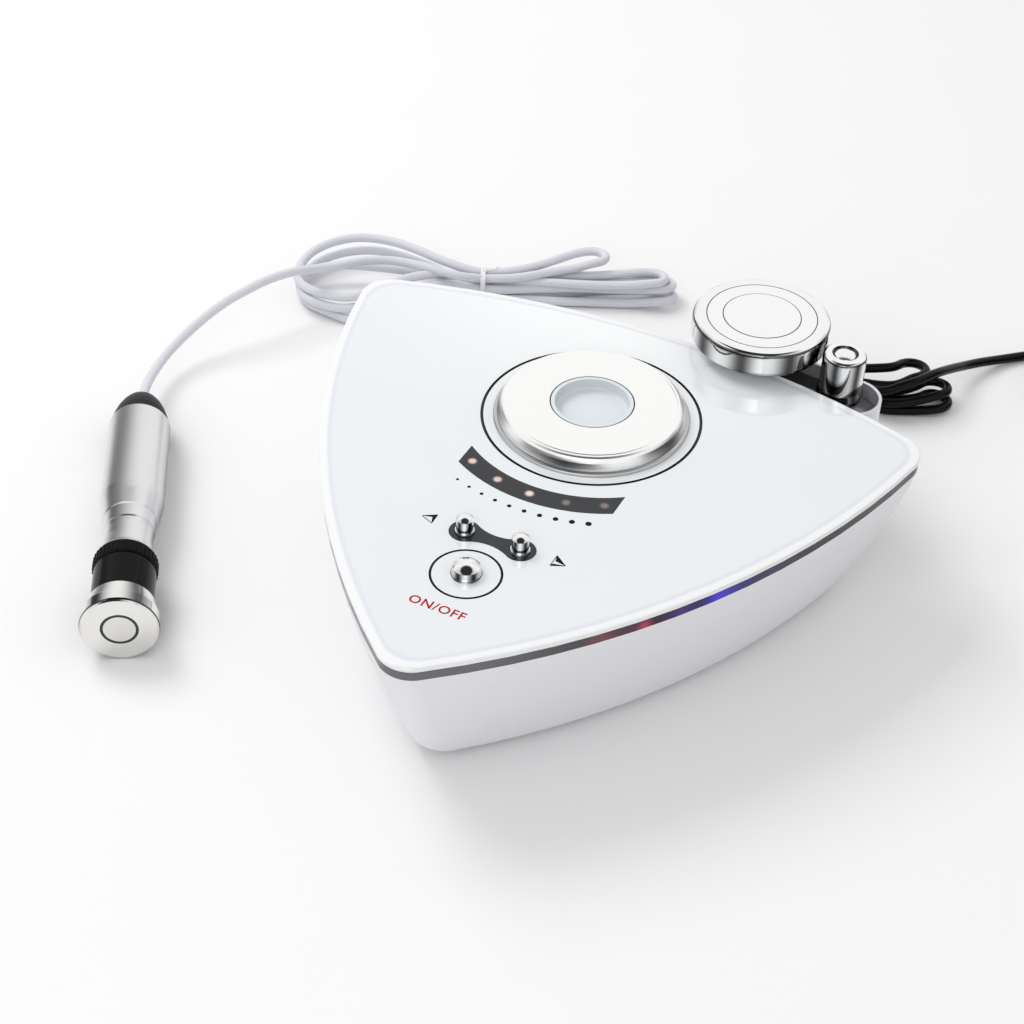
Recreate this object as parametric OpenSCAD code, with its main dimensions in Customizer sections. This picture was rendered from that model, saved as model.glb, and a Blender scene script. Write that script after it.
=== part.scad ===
// Table-top facial toning device: a triangular housing with a glossy top, a round
// probe dock, sprung keys, a rear probe tray with two spare probes, and a handpiece
// on its own lead. Millimetres, +Z up. The origin is on the table, under the dock.

/* [Housing] */
// Height of the glossy top above the table
body_h = 64; // [60:1:70]
// Half width at the back corners, before they are rounded
corner_x = 117; // [114:0.2:121]
// Distance of the back corners behind the dock axis, before they are rounded
corner_y = 41.2; // [39:0.2:44]
// Distance of the front tip from the dock axis, before it is rounded
tip_y = 152; // [149:1:158]
// How far each side bows out from a straight line
side_bulge = 21.2; // [20:0.1:24]
// How far the back edge bows out from a straight line
back_bulge = 20.6; // [18:0.1:22]
// Radius of the rounded front tip
tip_r = 12; // [10:0.2:14]
// Radius of the rounded back corners
corner_r = 12.2; // [11:0.2:16]
// How far the bottom of the bowl stands in from its rim
flare = 17.8; // [14:0.2:19]
// How fast the bowl curves in, 1 is a straight slope
flare_power = 1.3; // [1.1:0.05:1.6]
// Radius between the bowl's side and its bottom
bottom_r = 5; // [4:0.5:6]
// Wall thickness of the lower housing
wall = 2.4; // [1.8:0.1:2.8]

/* [Top cover] */
// Thickness of the top cover at its edge
cover_t = 1.8; // [1.6:0.1:2.4]
// Width of the soft shoulder round the top
shoulder_w = 5.4; // [4:0.2:8]
// How far the shoulder falls towards the edge
shoulder_drop = 0.3; // [0.2:0.05:0.5]
// Radius of the cover's upper edge
edge_r = 0.8; // [0.4:0.1:1]
// Height of the smoked light band under the cover
band_h = 4; // [3:0.2:5]
// Width of the light band, from its outer face inwards
band_w = 3.5; // [2.5:0.1:4]
// How far the light band and the lower housing stand in from the cover's edge
band_inset = 0.3; // [0.1:0.1:0.6]

/* [Feet and screws] */
// Height of the rubber feet below the housing
foot_h = 1.5; // [1:0.1:2.5]
// Radius of the rubber feet
foot_r = 6; // [5:0.5:7]
// Radius of the screw posts in the lower housing
post_r = 4.5; // [4.2:0.1:5]
// Height of the joint between the lower and the upper screw posts
boss_split = 40; // [36:1:43]
// Radius of the case screws' shanks
screw_r = 1.4; // [1.2:0.05:1.5]
// Radius of the case screws' heads
screw_head_r = 2.8; // [2.4:0.1:3]

/* [Dock] */
// Radius of the dock ring at its foot
dock_foot_r = 36.2; // [34:0.1:38]
// Radius of the dock ring's flat top
dock_top_r = 31.5; // [29:0.1:33]
// Height of the dock ring above the cover
dock_h = 6.4; // [5:0.2:8]
// Radius of the round well in the dock
dock_bore_r = 13.8; // [13:0.1:14.6]
// Depth of the round well in the dock
dock_bore_depth = 4.6; // [4:0.2:6]
// Radius of the fine line cut round the dock
dock_line_r = 40.3; // [39:0.1:41]

/* [Level window] */
// Distance of the centre of the level window's curve behind the dock axis
window_back = 3; // [0:0.5:5]
// Inner radius of the curved level window
window_r0 = 50.2; // [49:0.1:52]
// Outer radius of the curved level window
window_r1 = 58.7; // [57:0.1:60]
// Half width of the level window
window_x = 30.2; // [28:0.1:33]
// Angle between neighbouring level lamps
lamp_step = 14.2; // [12.6:0.2:14.8]
// Radius of a level lamp
lamp_r = 1.5; // [1:0.1:1.6]

/* [Keys] */
// Distance of the minus and plus keys from the middle line
key_x = 10.6; // [9.6:0.1:12]
// Distance of the minus and plus keys in front of the dock axis
key_y = 80; // [79:0.5:82]
// Radius of the minus and plus key caps
key_r = 3; // [2.6:0.1:3.2]
// Height of the minus and plus key caps above the cover
key_rise = 6.6; // [4.6:0.2:8]
// Distance of the power button in front of the dock axis
power_y = 99; // [98:0.5:100]
// Radius of the power button's cap
power_r = 4.7; // [4.2:0.1:5]
// Height of the power button above the cover
power_rise = 4.8; // [4:0.2:6]
// Travel of every key
key_travel = 0.8; // [0.4:0.1:1]
// Running clearance of a key in its collar
key_gap = 0.08; // [0.05:0.01:0.1]

/* [Probe tray] */
// Right end of the tray's middle line
tray_x1 = 78.4; // [77:0.2:80]
// Distance of the tray's right end behind the dock axis
tray_y1 = 66; // [65.4:0.2:68]
// Length of the tray between the centres of its two round ends
tray_len = 50; // [47:1:56]
// Angle that the tray stands at to the line between the back corners
tray_slope = 7.2; // [6.6:0.1:8.4]
// Radius of the tray's round ends
tray_r = 11.8; // [11.6:0.1:12]
// Thickness of the tray's wall
tray_wall = 1.3; // [1.2:0.1:1.6]
// Depth of the tray, from its rim to its underside
tray_depth = 24; // [22:1:28]
// Distance of the tray's rim below the cover's top
tray_drop = 6; // [5:0.5:8]
// Height of the dark liner below the tray's rim
liner_drop = 6; // [5:0.5:7]

/* [Spare probes] */
// Radius of the body probe's disc
disc_r = 26.4; // [24.6:0.1:27]
// Thickness of the body probe's disc
disc_t = 10.5; // [9:0.5:12]
// Height of the body probe's top above the cover
disc_rise = 14.4; // [13:0.2:17]
// Radius of the eye probe at its foot
eye_r0 = 9.1; // [9:0.1:9.8]
// Radius of the eye probe at its top
eye_r1 = 8.3; // [7.4:0.1:8.4]
// Height of the eye probe's metal body
eye_h = 20; // [18:0.5:24]
// Radius of the plug-in stem that all the probes share
stem_r = 4.5; // [4:0.1:4.8]

/* [Handpiece] */
// Length of the handpiece, with its probe head
hand_len = 141; // [139:0.5:146]
// Radius of the grip at its widest
grip_r = 12.2; // [11.6:0.1:12.6]
// Radius of the neck behind the coupling ring
neck_r = 9.2; // [8.4:0.1:9.8]
// Radius of the knurled coupling ring
coupling_r = 12.1; // [11.9:0.1:12.6]
// Number of ridges round the coupling ring
ridge_count = 40; // [24:1:48]
// Radius of the black sleeve
sleeve_r = 11.5; // [11:0.1:11.7]
// Radius of the polished probe head
head_r = 14.4; // [13.6:0.1:14.8]

/* [Cords] */
// Diameter of the grey handpiece lead
lead_d = 4; // [3.4:0.1:4.4]
// Diameter of the black power lead
power_d = 3.5; // [3:0.1:3.8]

/* [Hidden] */

// Levels, from the table up
cover_z = body_h - cover_t;
rim_z = cover_z - band_h;
floor_z = foot_h + wall;

// A bow from p to q that stands out by s to the right of the way
function bow_radius(p, q, s) = let(c = norm(q - p) / 2) (c * c + s * s) / (2 * s);
function bow_centre(p, q, s) =
    let(u = (q - p) / norm(q - p)) (p + q) / 2 - [u[1], -u[0]] * (bow_radius(p, q, s) - s);
function bearing(v) = atan2(v[1], v[0]);

// The housing's plan: two bowed sides and a bowed back, joined by rounded corners
tip_point = [0, -tip_y];
corner_point = [corner_x, corner_y];
side_c = bow_centre(tip_point, corner_point, side_bulge);
side_r = bow_radius(tip_point, corner_point, side_bulge);
back_c = bow_centre(corner_point, [-corner_x, corner_y], back_bulge);
back_r = bow_radius(corner_point, [-corner_x, corner_y], back_bulge);

// Centres of the rounded tip and of the right back corner, for a plan drawn in by i
function tip_centre(i) = [0, side_c[1] - sqrt(pow(side_r - i - tip_r, 2) - pow(side_c[0], 2))];
function corner_centre(i) =
    let(a = side_r - i - corner_r, b = back_r - i - corner_r, d = norm(back_c - side_c),
        u = (back_c - side_c) / d, x = (a * a - b * b + d * d) / (2 * d))
    side_c + u * x + sqrt(a * a - x * x) * [-u[1], u[0]];
// Where the back edge stands at x, for a plan drawn in by i
function back_y(x, i) = back_c[1] + sqrt(pow(back_r - i, 2) - x * x);
// Where the right side stands at y, for a plan drawn in by i
function side_x(y, i) = side_c[0] + sqrt(pow(side_r - i, 2) - pow(y - side_c[1], 2));

function arc_points(c, r, a0, a1, n) =
    [for (k = [0 : n - 1]) let(a = a0 + (a1 - a0) * k / n) c + r * [cos(a), sin(a)]];
function half_outline(i) =
    let(t = tip_centre(i), k = corner_centre(i))
    concat(
        arc_points(t, tip_r, -90, bearing(t - side_c), 7),
        arc_points(side_c, side_r - i, bearing(t - side_c), bearing(k - side_c), 14),
        arc_points(k, corner_r, bearing(k - side_c), bearing(k - back_c), 8),
        arc_points(back_c, back_r - i, bearing(k - back_c), 90, 7));
function outline(i) =
    let(h = half_outline(i), m = len(h))
    concat(h, [[0, back_c[1] + back_r - i]], [for (k = [m - 1 : -1 : 1]) [-h[k][0], h[k][1]]]);
function ring_at(level) = [for (p = outline(level[1])) [p[0], p[1], level[0]]];

// A flat ring that follows the plan, between two depths
module plan_ring(i0, i1, h) {
    linear_extrude(h) difference() {
        polygon(outline(i0));
        polygon(outline(i1));
    }
}

// A solid through rings of points, from the lowest to the highest
module loft(rings) {
    n = len(rings[0]);
    m = len(rings);
    polyhedron(
        points = [for (r = rings) each r],
        faces = concat(
            [[for (k = [0 : n - 1]) k], [for (k = [n - 1 : -1 : 0]) (m - 1) * n + k]],
            [for (j = [0 : m - 2], k = [0 : n - 1])
                [j * n + k, (j + 1) * n + k, (j + 1) * n + (k + 1) % n]],
            [for (j = [0 : m - 2], k = [0 : n - 1])
                [j * n + k, (j + 1) * n + (k + 1) % n, j * n + (k + 1) % n]]));
}

// The bowl's side at height z, and its levels for a skin that lies t inside it
bowl_steps = 7;
function bowl_inset(z) =
    band_inset + flare * pow(max(0, (rim_z - z) / (rim_z - foot_h)), flare_power);
function bowl_levels(t) =
    let(b = foot_h + t, r = bottom_r - t)
    concat(
        [for (a = [0 : 22.5 : 90]) let(z = b + r * (1 - cos(a))) [z, bowl_inset(z) + t + r * (1 - sin(a))]],
        [for (k = [1 : bowl_steps]) let(z = b + r + (rim_z - b - r) * k / bowl_steps) [z, bowl_inset(z) + t]]);
module bowl_outside() {
    loft([for (l = bowl_levels(0)) ring_at(l)]);
}
module bowl_inside() {
    loft([for (l = concat(bowl_levels(wall), [[rim_z + 1, band_inset + wall]])) ring_at(l)]);
}

// The band drops a skirt inside the bowl's wall
band_skirt = 2;
skirt_gap = 0.12;

// Case screw posts stand a fixed way in from the sides, clear of the bowl's round bottom
post_in = flare + bottom_r + post_r + 1.2;
post_tip = [0, tip_centre(post_in)[1] - tip_r - 2.3];
post_side = [side_x(-50, post_in + 4), -50];
post_back = [side_x(24, post_in + 2), 24];
posts = [post_tip, post_side, [-post_side[0], post_side[1]], post_back, [-post_back[0], post_back[1]]];
screw_gap = 0.05;
screw_seat = 26;
screw_head_h = 2.4;
screw_bite = 6;
post_gap = 0.2;
boss_r = 3.5;

foot_front = [22, -82];
foot_back = [post_back[0] - 18, 20];
feet_at = concat([[0, 0]], [for (s = [-1, 1], p = [foot_front, foot_back]) [s * p[0], p[1]]]);
foot_seat = 1;

// Boards and their posts
board_t = 1.6;
standoff_r = 3.2;
small_r = 1;
small_head_r = 2;
main_z = floor_z + 10;
main_x = 58;
main_y0 = -32;
main_y1 = 33;
main_screws = [for (x = [-1, 1], y = [main_y0 + 6, main_y1 - 6]) [x * (main_x - 6), y]];

// Keys, from the board up to the cap
switch_h = 3.5;
switch_w = 6;
plunger_r = 1.5;
flange_t = 0.8;
rest_gap = 0.3;
collar_foot_z = cover_z - 1.2;
flange_z = collar_foot_z - rest_gap - flange_t;
plunger_well = 2.2;
control_z = flange_z - 1.6 - switch_h - board_t;
switch_z = control_z + board_t;
collar_wall = 0.45;
collar_rim = 0.66;
collar_lift = 0.7;
plate_t = 0.6;
plate_end_r = 5.5;
plate_waist = 2.6;
plate_lift = 0.15;
control_screws = [for (s = [-1, 1], p = [[13, -(power_y - 5)], [27, -64]]) [s * p[0], p[1]]];
function lamp_at(k) =
    let(a = -90 + k * lamp_step, r = (window_r0 + window_r1) / 2) [0, window_back] + r * [cos(a), sin(a)];
lamp_holes = 0.3;
window_t = 1.1;
window_seat = 0.08;

// Dock
dock_spigot_r = 20;
cup_wall = 1.4;
cup_floor = 1.2;
cup_fillet = 1.6;
cup_seat = 0.08;
nut_h = 3;
spigot_end = cover_z - nut_h - 0.6;

// Sockets in the back wall
socket_z = 20;
lead_socket_x = -35;
dc_jack_x = 45;
socket_boss_r = 9.5;
jack_boss_r = 8;
boss_in = 10;
function boss_face(x, r) = back_y(abs(x), bowl_inset(socket_z + r)) + 0.3;
lead_face = boss_face(lead_socket_x, socket_boss_r);
jack_face = boss_face(dc_jack_x, jack_boss_r);

// Tray: its middle line runs along the right half of the back edge
tray_turn = -tray_slope;
tray_end = [tray_x1, tray_y1];
tray_along = [-cos(tray_turn), -sin(tray_turn)];
tray_rim_z = body_h - tray_drop;
tray_foot_z = tray_rim_z - tray_depth;
tray_floor_z = tray_foot_z + tray_wall;
liner_z = tray_rim_z - liner_drop;
liner_gap = 0.1;
eye_in = 4.9;
disc_in = 40.7;
eye_at = tray_end + eye_in * tray_along;
disc_at = tray_end + disc_in * tray_along;
stem_gap = 0.06;
web_x0 = 46;
web_x1 = 66;
web_screw_z = tray_foot_z + 12;

// Spare probes
disc_z = body_h + disc_rise - disc_t;
disc_face_r = 21.3;
disc_core_r = 15.1;
insulator_w = 0.4;
eye_z = tray_rim_z - 2;
eye_well_r = 5;
stem_top_r = 7;
stem_foot = tray_floor_z + 2;
rest_seat = 0.02;

// Handpiece, along its own axis from the tail
tail_cap_len = 20.2;
grip_end = 73;
neck_start = 89;
coupling_s = 104;
sleeve_s = coupling_s + 7.2;
head_s = 128;
head_rim_s = hand_len - 5.5;
head_groove_r = 6.9;
head_ring_w = 1.1;
grip_touch = tail_cap_len + 0.6;
hand_yaw = -58.6;
hand_tilt = atan((head_r - grip_r) / (head_rim_s - grip_touch));
hand_tail = [-193.2, -15, grip_r * cos(hand_tilt) - grip_touch * sin(hand_tilt) + rest_seat];
hand_gap = 0.3;

// Lead from the handpiece's tail to the hank, and on from the hank to the plug
lead_out = [[-196, -9.4, 11.6], [-198.6, -2.8, 11.3], [-200.8, 5, 11], [-202.4, 15.4, 11.2], [-202.2, 25.9, 12.8],
            [-200.1, 35.6, 15.6], [-197, 43.8, 18.6], [-193, 51.4, 21.4], [-189, 59, 23.4], [-185.2, 66.8, 24.4],
            [-181.6, 74, 24.4], [-178, 81.2, 23.4], [-174.2, 88.4, 20.4], [-170.6, 95, 15.6], [-168, 100, 11]];
lead_back = [[-124, 109.4, 2.3], [-112, 110.4, 2.3], [-97, 115, 2.3], [-80, 119, 2.3], [-64, 119.6, 3],
             [-51, 117.4, 5.6], [-42, 112.6, 10], [-37, 106, 15], [-35.2, 98.6, 18.6]];
hank_left = [-163, 117];
hank_right = [-60, 168];
hank_tie = [-113.5, 135.6];
hank_r0 = 38;
hank_r1 = 28;
hank_waist = 8.4;
hank_h = 17;
tie_w = 2.4;

// Power lead from its plug to the hank, and on from the hank to the coil and the wall plug
power_in = [[45.2, 88, 19.8], [45.4, 95, 18.4], [45.8, 104, 16.6], [46, 113, 15.8], [46.2, 122, 15.6],
            [47.4, 131, 15], [49.6, 137, 14]];
power_out = [[89.4, 157, 13.6], [94.1, 169.4, 10.4], [98.3, 179.2, 7.6], [103.1, 188.4, 5.2], [109.7, 198.1, 3],
             [117.4, 206.6, 1.8], [124.6, 212.8, 1.8], [132.6, 217.8, 1.8], [141, 220.9, 1.8]];
power_tail = [[161.2, 219, 8.8], [170, 213, 8.8], [176.5, 206, 9.2], [181, 198.5, 10.2], [185, 192, 12],
              [188.6, 188.8, 13.2]];
bundle_left = [29, 130.5];
bundle_right = [85, 150];
bundle_waist = [52, 140];
bundle_r0 = 13.5;
bundle_r1 = 17;
bundle_w = 4.6;
bundle_h = 15;
coil_at = [152, 203];
coil_r = 17;
coil_rows = 3;
plug_at = [204, 188];
plug_w = 28;
plug_l = 46;
plug_h = 30;

// ---- Housing ----

module slot(x, y, l, w, z, h) {
    translate([x, y, z]) {
        translate([-w / 2, -l / 2, 0]) cube([w, l, h]);
        for (s = [-1, 1]) translate([0, s * l / 2, 0]) cylinder(r = w / 2, h = h, $fn = 24);
    }
}

module along_y(x, y, z) {
    translate([x, y, z]) rotate([-90, 0, 0]) children();
}

vent_n = 3;
vent_pitch = 7;
vent_x0 = 13;
module base_shell() {
    color("white") difference() {
        union() {
            difference() {
                bowl_outside();
                bowl_inside();
            }
            for (p = posts)
                translate([p[0], p[1], floor_z - 1]) cylinder(r = post_r, h = boss_split - post_gap - floor_z + 1, $fn = 48);
            for (p = main_screws)
                translate([p[0], p[1], floor_z - 1]) cylinder(r = standoff_r, h = main_z - floor_z + 1, $fn = 36);
            along_y(lead_socket_x, lead_face - boss_in, socket_z) cylinder(r = socket_boss_r, h = boss_in, $fn = 64);
            along_y(dc_jack_x, jack_face - boss_in, socket_z) cylinder(r = jack_boss_r, h = boss_in, $fn = 64);
        }
        for (p = posts) translate([p[0], p[1], 0]) {
            cylinder(r = screw_r + 0.3, h = body_h, $fn = 36);
            cylinder(r = screw_head_r + 0.4, h = screw_seat, $fn = 36);
        }
        for (p = main_screws)
            translate([p[0], p[1], main_z - 6]) cylinder(r = small_r + screw_gap, h = 7, $fn = 24);
        for (p = feet_at)
            translate([p[0], p[1], 0]) cylinder(r = foot_r + 0.1, h = foot_h + foot_seat, $fn = 64);
        for (s = [-1, 1], k = [0 : vent_n - 1])
            slot(s * (vent_x0 + k * vent_pitch), -6, 30, 2, foot_h - 1, wall + 2);
        along_y(lead_socket_x, lead_face - boss_in - 1, socket_z) cylinder(r = socket_thread_r + 0.1, h = boss_in + 2, $fn = 48);
        along_y(dc_jack_x, jack_face - boss_in - 1, socket_z) cylinder(r = jack_thread_r + 0.1, h = boss_in + 2, $fn = 48);
        for (x = web_screws) {
            along_y(x, web_inner_y, web_screw_z) cylinder(r = small_r + 0.3, h = web_seat(x) - web_inner_y + wall + 6, $fn = 24);
            along_y(x, web_inner_y, web_screw_z) cylinder(r = small_head_r + 0.2, h = web_seat(x) - web_inner_y, $fn = 48);
        }
    }
}

module light_band() {
    color("dimgray") {
        translate([0, 0, rim_z]) plan_ring(band_inset, band_inset + band_w, band_h);
        translate([0, 0, rim_z - band_skirt])
            plan_ring(bowl_inset(rim_z - band_skirt) + wall + skirt_gap, band_inset + band_w - 0.2, band_skirt + 1);
    }
}

// The cover's rings: a straight edge, a small radius, then the soft shoulder
cover_levels = concat(
    [[cover_z, 0]],
    [for (a = [90 : -22.5 : 0])
        [body_h - shoulder_drop - edge_r * (1 - sin(90 - a)), edge_r * (1 - sin(a))]],
    [for (t = [0.34, 0.67, 1])
        [body_h - shoulder_drop * pow(1 - t, 2), edge_r + (shoulder_w - edge_r) * t]]);
lamp_strip = band_inset + band_w + 1.3;
lip_in = lamp_strip + 0.8;
lip_w = 1.5;
lip_depth = 2.4;
module top_cover() {
    color("white") difference() {
        union() {
            loft([for (l = cover_levels) ring_at(l)]);
            translate([0, 0, rim_z - lip_depth]) plan_ring(lip_in, lip_in + lip_w, band_h + lip_depth + 0.01);
            for (p = posts)
                translate([p[0], p[1], boss_split]) cylinder(r = boss_r, h = cover_z - boss_split + 0.01, $fn = 48);
            for (p = control_screws)
                translate([p[0], p[1], switch_z]) cylinder(r = 2.4, h = cover_z - switch_z + 0.01, $fn = 36);
        }
        for (p = posts)
            translate([p[0], p[1], boss_split - 1]) cylinder(r = screw_r + screw_gap, h = screw_bite + 4, $fn = 36);
        for (p = control_screws)
            translate([p[0], p[1], switch_z - 1]) cylinder(r = small_r + screw_gap, h = 6, $fn = 24);
        translate([0, 0, cover_z - 1]) cylinder(r = dock_spigot_r + 0.2, h = cover_t + 2, $fn = 96);
        translate([0, 0, body_h - 0.5]) rotate_extrude($fn = 128) translate([dock_line_r - 0.4, 0]) square([0.8, 1]);
        translate([0, 0, body_h - window_t]) linear_extrude(2) window_plan(window_seat);
        for (k = [-2 : 2])
            translate([lamp_at(k)[0], lamp_at(k)[1], cover_z - 1]) cylinder(r = lamp_r + lamp_holes, h = 3, $fn = 36);
        translate([0, 0, body_h - plate_t]) linear_extrude(2) key_plate_plan(window_seat);
        for (s = [-1, 1])
            translate([s * key_x, -key_y, cover_z - 1]) cylinder(r = key_collar_r + 0.1, h = 4, $fn = 48);
        translate([0, -power_y, cover_z - 1]) cylinder(r = power_collar_r + 0.1, h = 4, $fn = 64);
    }
}

module feet() {
    color("black") for (p = feet_at) translate([p[0], p[1], 0]) rotate_extrude($fn = 64)
        polygon([[0, 0], [foot_r - 0.6, 0], [foot_r, 0.6], [foot_r, foot_h + foot_seat], [0, foot_h + foot_seat]]);
}

// A pan-head screw whose head seats at z = 0 and whose shank points up
module screw(r, head_r, head_h, l) {
    cylinder(r = r, h = l, $fn = 32);
    difference() {
        translate([0, 0, -head_h]) cylinder(r = head_r, h = head_h, $fn = 48);
        for (a = [0, 90]) rotate([0, 0, a])
            translate([-head_r * 0.6, -head_r * 0.12, -head_h - 1]) cube([head_r * 1.2, head_r * 0.24, 1 + head_h * 0.4]);
    }
}
module case_screws() {
    color("silver") for (p = posts)
        translate([p[0], p[1], screw_seat]) screw(screw_r, screw_head_r, screw_head_h, boss_split - screw_seat + screw_bite);
}

small_l = 6;
small_head_h = 1.4;
module small_screws() {
    color("silver") {
        for (p = main_screws)
            translate([p[0], p[1], main_z + board_t]) rotate([180, 0, 0]) screw(small_r, small_head_r, small_head_h, small_l);
        for (p = control_screws)
            translate([p[0], p[1], control_z]) screw(small_r, small_head_r, small_head_h, small_l);
        for (x = web_screws)
            along_y(x, web_seat(x), web_screw_z) screw(small_r, small_head_r, small_head_h, small_l);
    }
}

// ---- Dock ----

module dock_ring() {
    z0 = spigot_end - body_h;
    bore = dock_bore_r + cup_wall + cup_seat;
    rise = dock_h - 1.2;
    round_w = dock_foot_r - 1.3 - dock_top_r;
    color("silver") translate([0, 0, body_h]) rotate_extrude($fn = 160)
        polygon(concat(
            [[bore, z0], [dock_spigot_r, z0], [dock_spigot_r, 0], [dock_foot_r - 0.3, 0], [dock_foot_r, 0.3],
             [dock_foot_r, 0.7], [dock_foot_r - 0.3, 1], [dock_foot_r - 1, 1.1]],
            [for (a = [0 : 12.5 : 75]) [dock_top_r + round_w * cos(a), 1.2 + rise * sin(a)]],
            [[dock_top_r, dock_h - 0.15], [dock_top_r - 0.3, dock_h], [bore + 0.4, dock_h], [bore, dock_h - 0.4]]));
}

module dock_cup() {
    r = dock_bore_r;
    top = body_h + dock_h;
    bottom = top - dock_bore_depth;
    color("white") difference() {
        union() {
            translate([0, 0, spigot_end - 1.5]) cylinder(r = r + cup_wall, h = top - spigot_end + 1.5, $fn = 128);
            translate([0, 0, spigot_end - 1.5]) cylinder(r = dock_spigot_r - 1, h = 1.5, $fn = 96);
        }
        translate([0, 0, bottom]) rotate_extrude($fn = 128) polygon(concat(
            [[0, 0]],
            [for (a = [0 : 22.5 : 90]) [r - cup_fillet * (1 - sin(a)), cup_fillet * (1 - cos(a))]],
            [[r, dock_bore_depth + 1], [0, dock_bore_depth + 1]]));
        translate([0, 0, spigot_end - 2.5]) cylinder(r = r - 1, h = bottom - cup_floor - spigot_end + 2.5, $fn = 96);
    }
}

module dock_nut() {
    color("gray") translate([0, 0, cover_z - nut_h]) difference() {
        cylinder(r = dock_spigot_r + 5, h = nut_h, $fn = 6);
        translate([0, 0, -1]) cylinder(r = dock_spigot_r + screw_gap, h = nut_h + 2, $fn = 96);
    }
}

// ---- Level window and keys ----

module window_plan(grow) {
    intersection() {
        translate([0, window_back]) difference() {
            circle(r = window_r1 + grow, $fn = 180);
            circle(r = window_r0 - grow, $fn = 180);
        }
        translate([-window_x - grow, -window_r1 - 2]) square([2 * (window_x + grow), window_r1]);
    }
}
module level_window() {
    color("dimgray") translate([0, 0, body_h - window_t]) linear_extrude(window_t + 0.1) window_plan(0);
}
module level_lamps() {
    tip = body_h - window_t - 0.1;
    color("orange") for (k = [-2 : 2]) translate([lamp_at(k)[0], lamp_at(k)[1], 0]) {
        translate([0, 0, switch_z]) cylinder(r = lamp_r, h = tip - lamp_r - switch_z, $fn = 36);
        translate([0, 0, tip - lamp_r]) sphere(r = lamp_r, $fn = 36);
        translate([0, 0, tip - lamp_r - 5]) cylinder(r = lamp_r + 0.25, h = 1, $fn = 36);
    }
}

key_collar_r = key_r + key_gap + collar_wall;
power_collar_r = power_r + key_gap + collar_wall;
// Two round ends and a waist, with hollow flanks that cut a hair into the ends
module key_plate_plan(grow) {
    e = plate_end_r + grow;
    w = plate_waist + grow;
    r = (key_x * key_x + w * w - e * e) / (2 * (e - w));
    half = e * (w + r) / (e + r);
    translate([0, -key_y]) {
        for (s = [-1, 1]) translate([s * key_x, 0]) circle(r = e, $fn = 64);
        difference() {
            translate([-key_x, -half]) square([2 * key_x, 2 * half]);
            for (s = [-1, 1]) translate([0, s * (w + r)]) circle(r = r + 0.02, $fn = 128);
        }
    }
}
module key_plate() {
    color("darkslategray") translate([0, 0, body_h - plate_t]) linear_extrude(plate_t + plate_lift) difference() {
        key_plate_plan(0);
        for (s = [-1, 1]) translate([s * key_x, -key_y]) circle(r = key_collar_r + 0.1, $fn = 48);
    }
}

// A collar round a key: a tube through the cover and a rim on top of the seat
module collar(r, seat) {
    translate([0, 0, collar_foot_z]) difference() {
        union() {
            cylinder(r = r + key_gap + collar_wall, h = seat + collar_lift - collar_foot_z - 0.2, $fn = 64);
            translate([0, 0, seat - collar_foot_z]) rotate_extrude($fn = 64)
                polygon([[0, 0], [r + collar_rim, 0], [r + collar_rim, collar_lift * 0.5],
                         [r + collar_rim - 0.3, collar_lift], [0, collar_lift]]);
        }
        translate([0, 0, -1]) cylinder(r = r + key_gap, h = 20, $fn = 64);
    }
}
module key_collars() {
    color("silver") for (s = [-1, 1]) translate([s * key_x, -key_y, 0]) collar(key_r, body_h + plate_lift);
}
module power_collar() {
    color("white") translate([0, -power_y, 0]) collar(power_r, body_h);
}

// A turned cap with a domed crown, and the flange that holds it under its collar
module cap(r, rise) {
    top = body_h + rise;
    crown = r * 0.34;
    s = (r * r + crown * crown) / (2 * crown);
    translate([0, 0, flange_z]) cylinder(r = r, h = top - crown - flange_z, $fn = 64);
    translate([0, 0, flange_z]) cylinder(r = r + 1, h = flange_t, $fn = 64);
    intersection() {
        translate([0, 0, top - s]) sphere(r = s, $fn = 96);
        translate([0, 0, top - crown]) cylinder(r = r, h = crown + 1, $fn = 64);
    }
}
module power_button() { color("silver") translate([0, -power_y, 0]) cap(power_r, power_rise); }
module minus_button() { color("silver") translate([-key_x, -key_y, 0]) cap(key_r, key_rise); }
module plus_button() { color("silver") translate([key_x, -key_y, 0]) cap(key_r, key_rise); }

module plunger() {
    z0 = switch_z + switch_h - plunger_well + key_travel + rest_gap;
    translate([0, 0, z0]) cylinder(r = plunger_r, h = flange_z - z0, $fn = 36);
}
module power_plunger() { color("black") translate([0, -power_y, 0]) plunger(); }
module minus_plunger() { color("black") translate([-key_x, -key_y, 0]) plunger(); }
module plus_plunger() { color("black") translate([key_x, -key_y, 0]) plunger(); }

keys_at = [[0, -power_y], [-key_x, -key_y], [key_x, -key_y]];
module key_switches() {
    color("gray") for (p = keys_at) translate([p[0], p[1], switch_z]) difference() {
        translate([-switch_w / 2, -switch_w / 2, 0]) cube([switch_w, switch_w, switch_h]);
        translate([0, 0, switch_h - plunger_well]) cylinder(r = plunger_r + rest_gap, h = plunger_well + 1, $fn = 36);
    }
}

// ---- Electronics ----

control_x = 33;
control_nose_x = 17;
control_knee = 12;
module control_board() {
    y0 = -(power_y + 6);
    y1 = window_back - window_r0 * cos(2 * lamp_step) + 2;
    y2 = -(key_y - control_knee);
    color("darkgreen") translate([0, 0, control_z]) linear_extrude(board_t) difference() {
        polygon([[-control_nose_x, y0], [control_nose_x, y0], [control_x, y2],
                 [control_x, y1], [-control_x, y1], [-control_x, y2]]);
        for (p = control_screws) translate(p) circle(r = small_r + 0.2, $fn = 24);
    }
}

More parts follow.
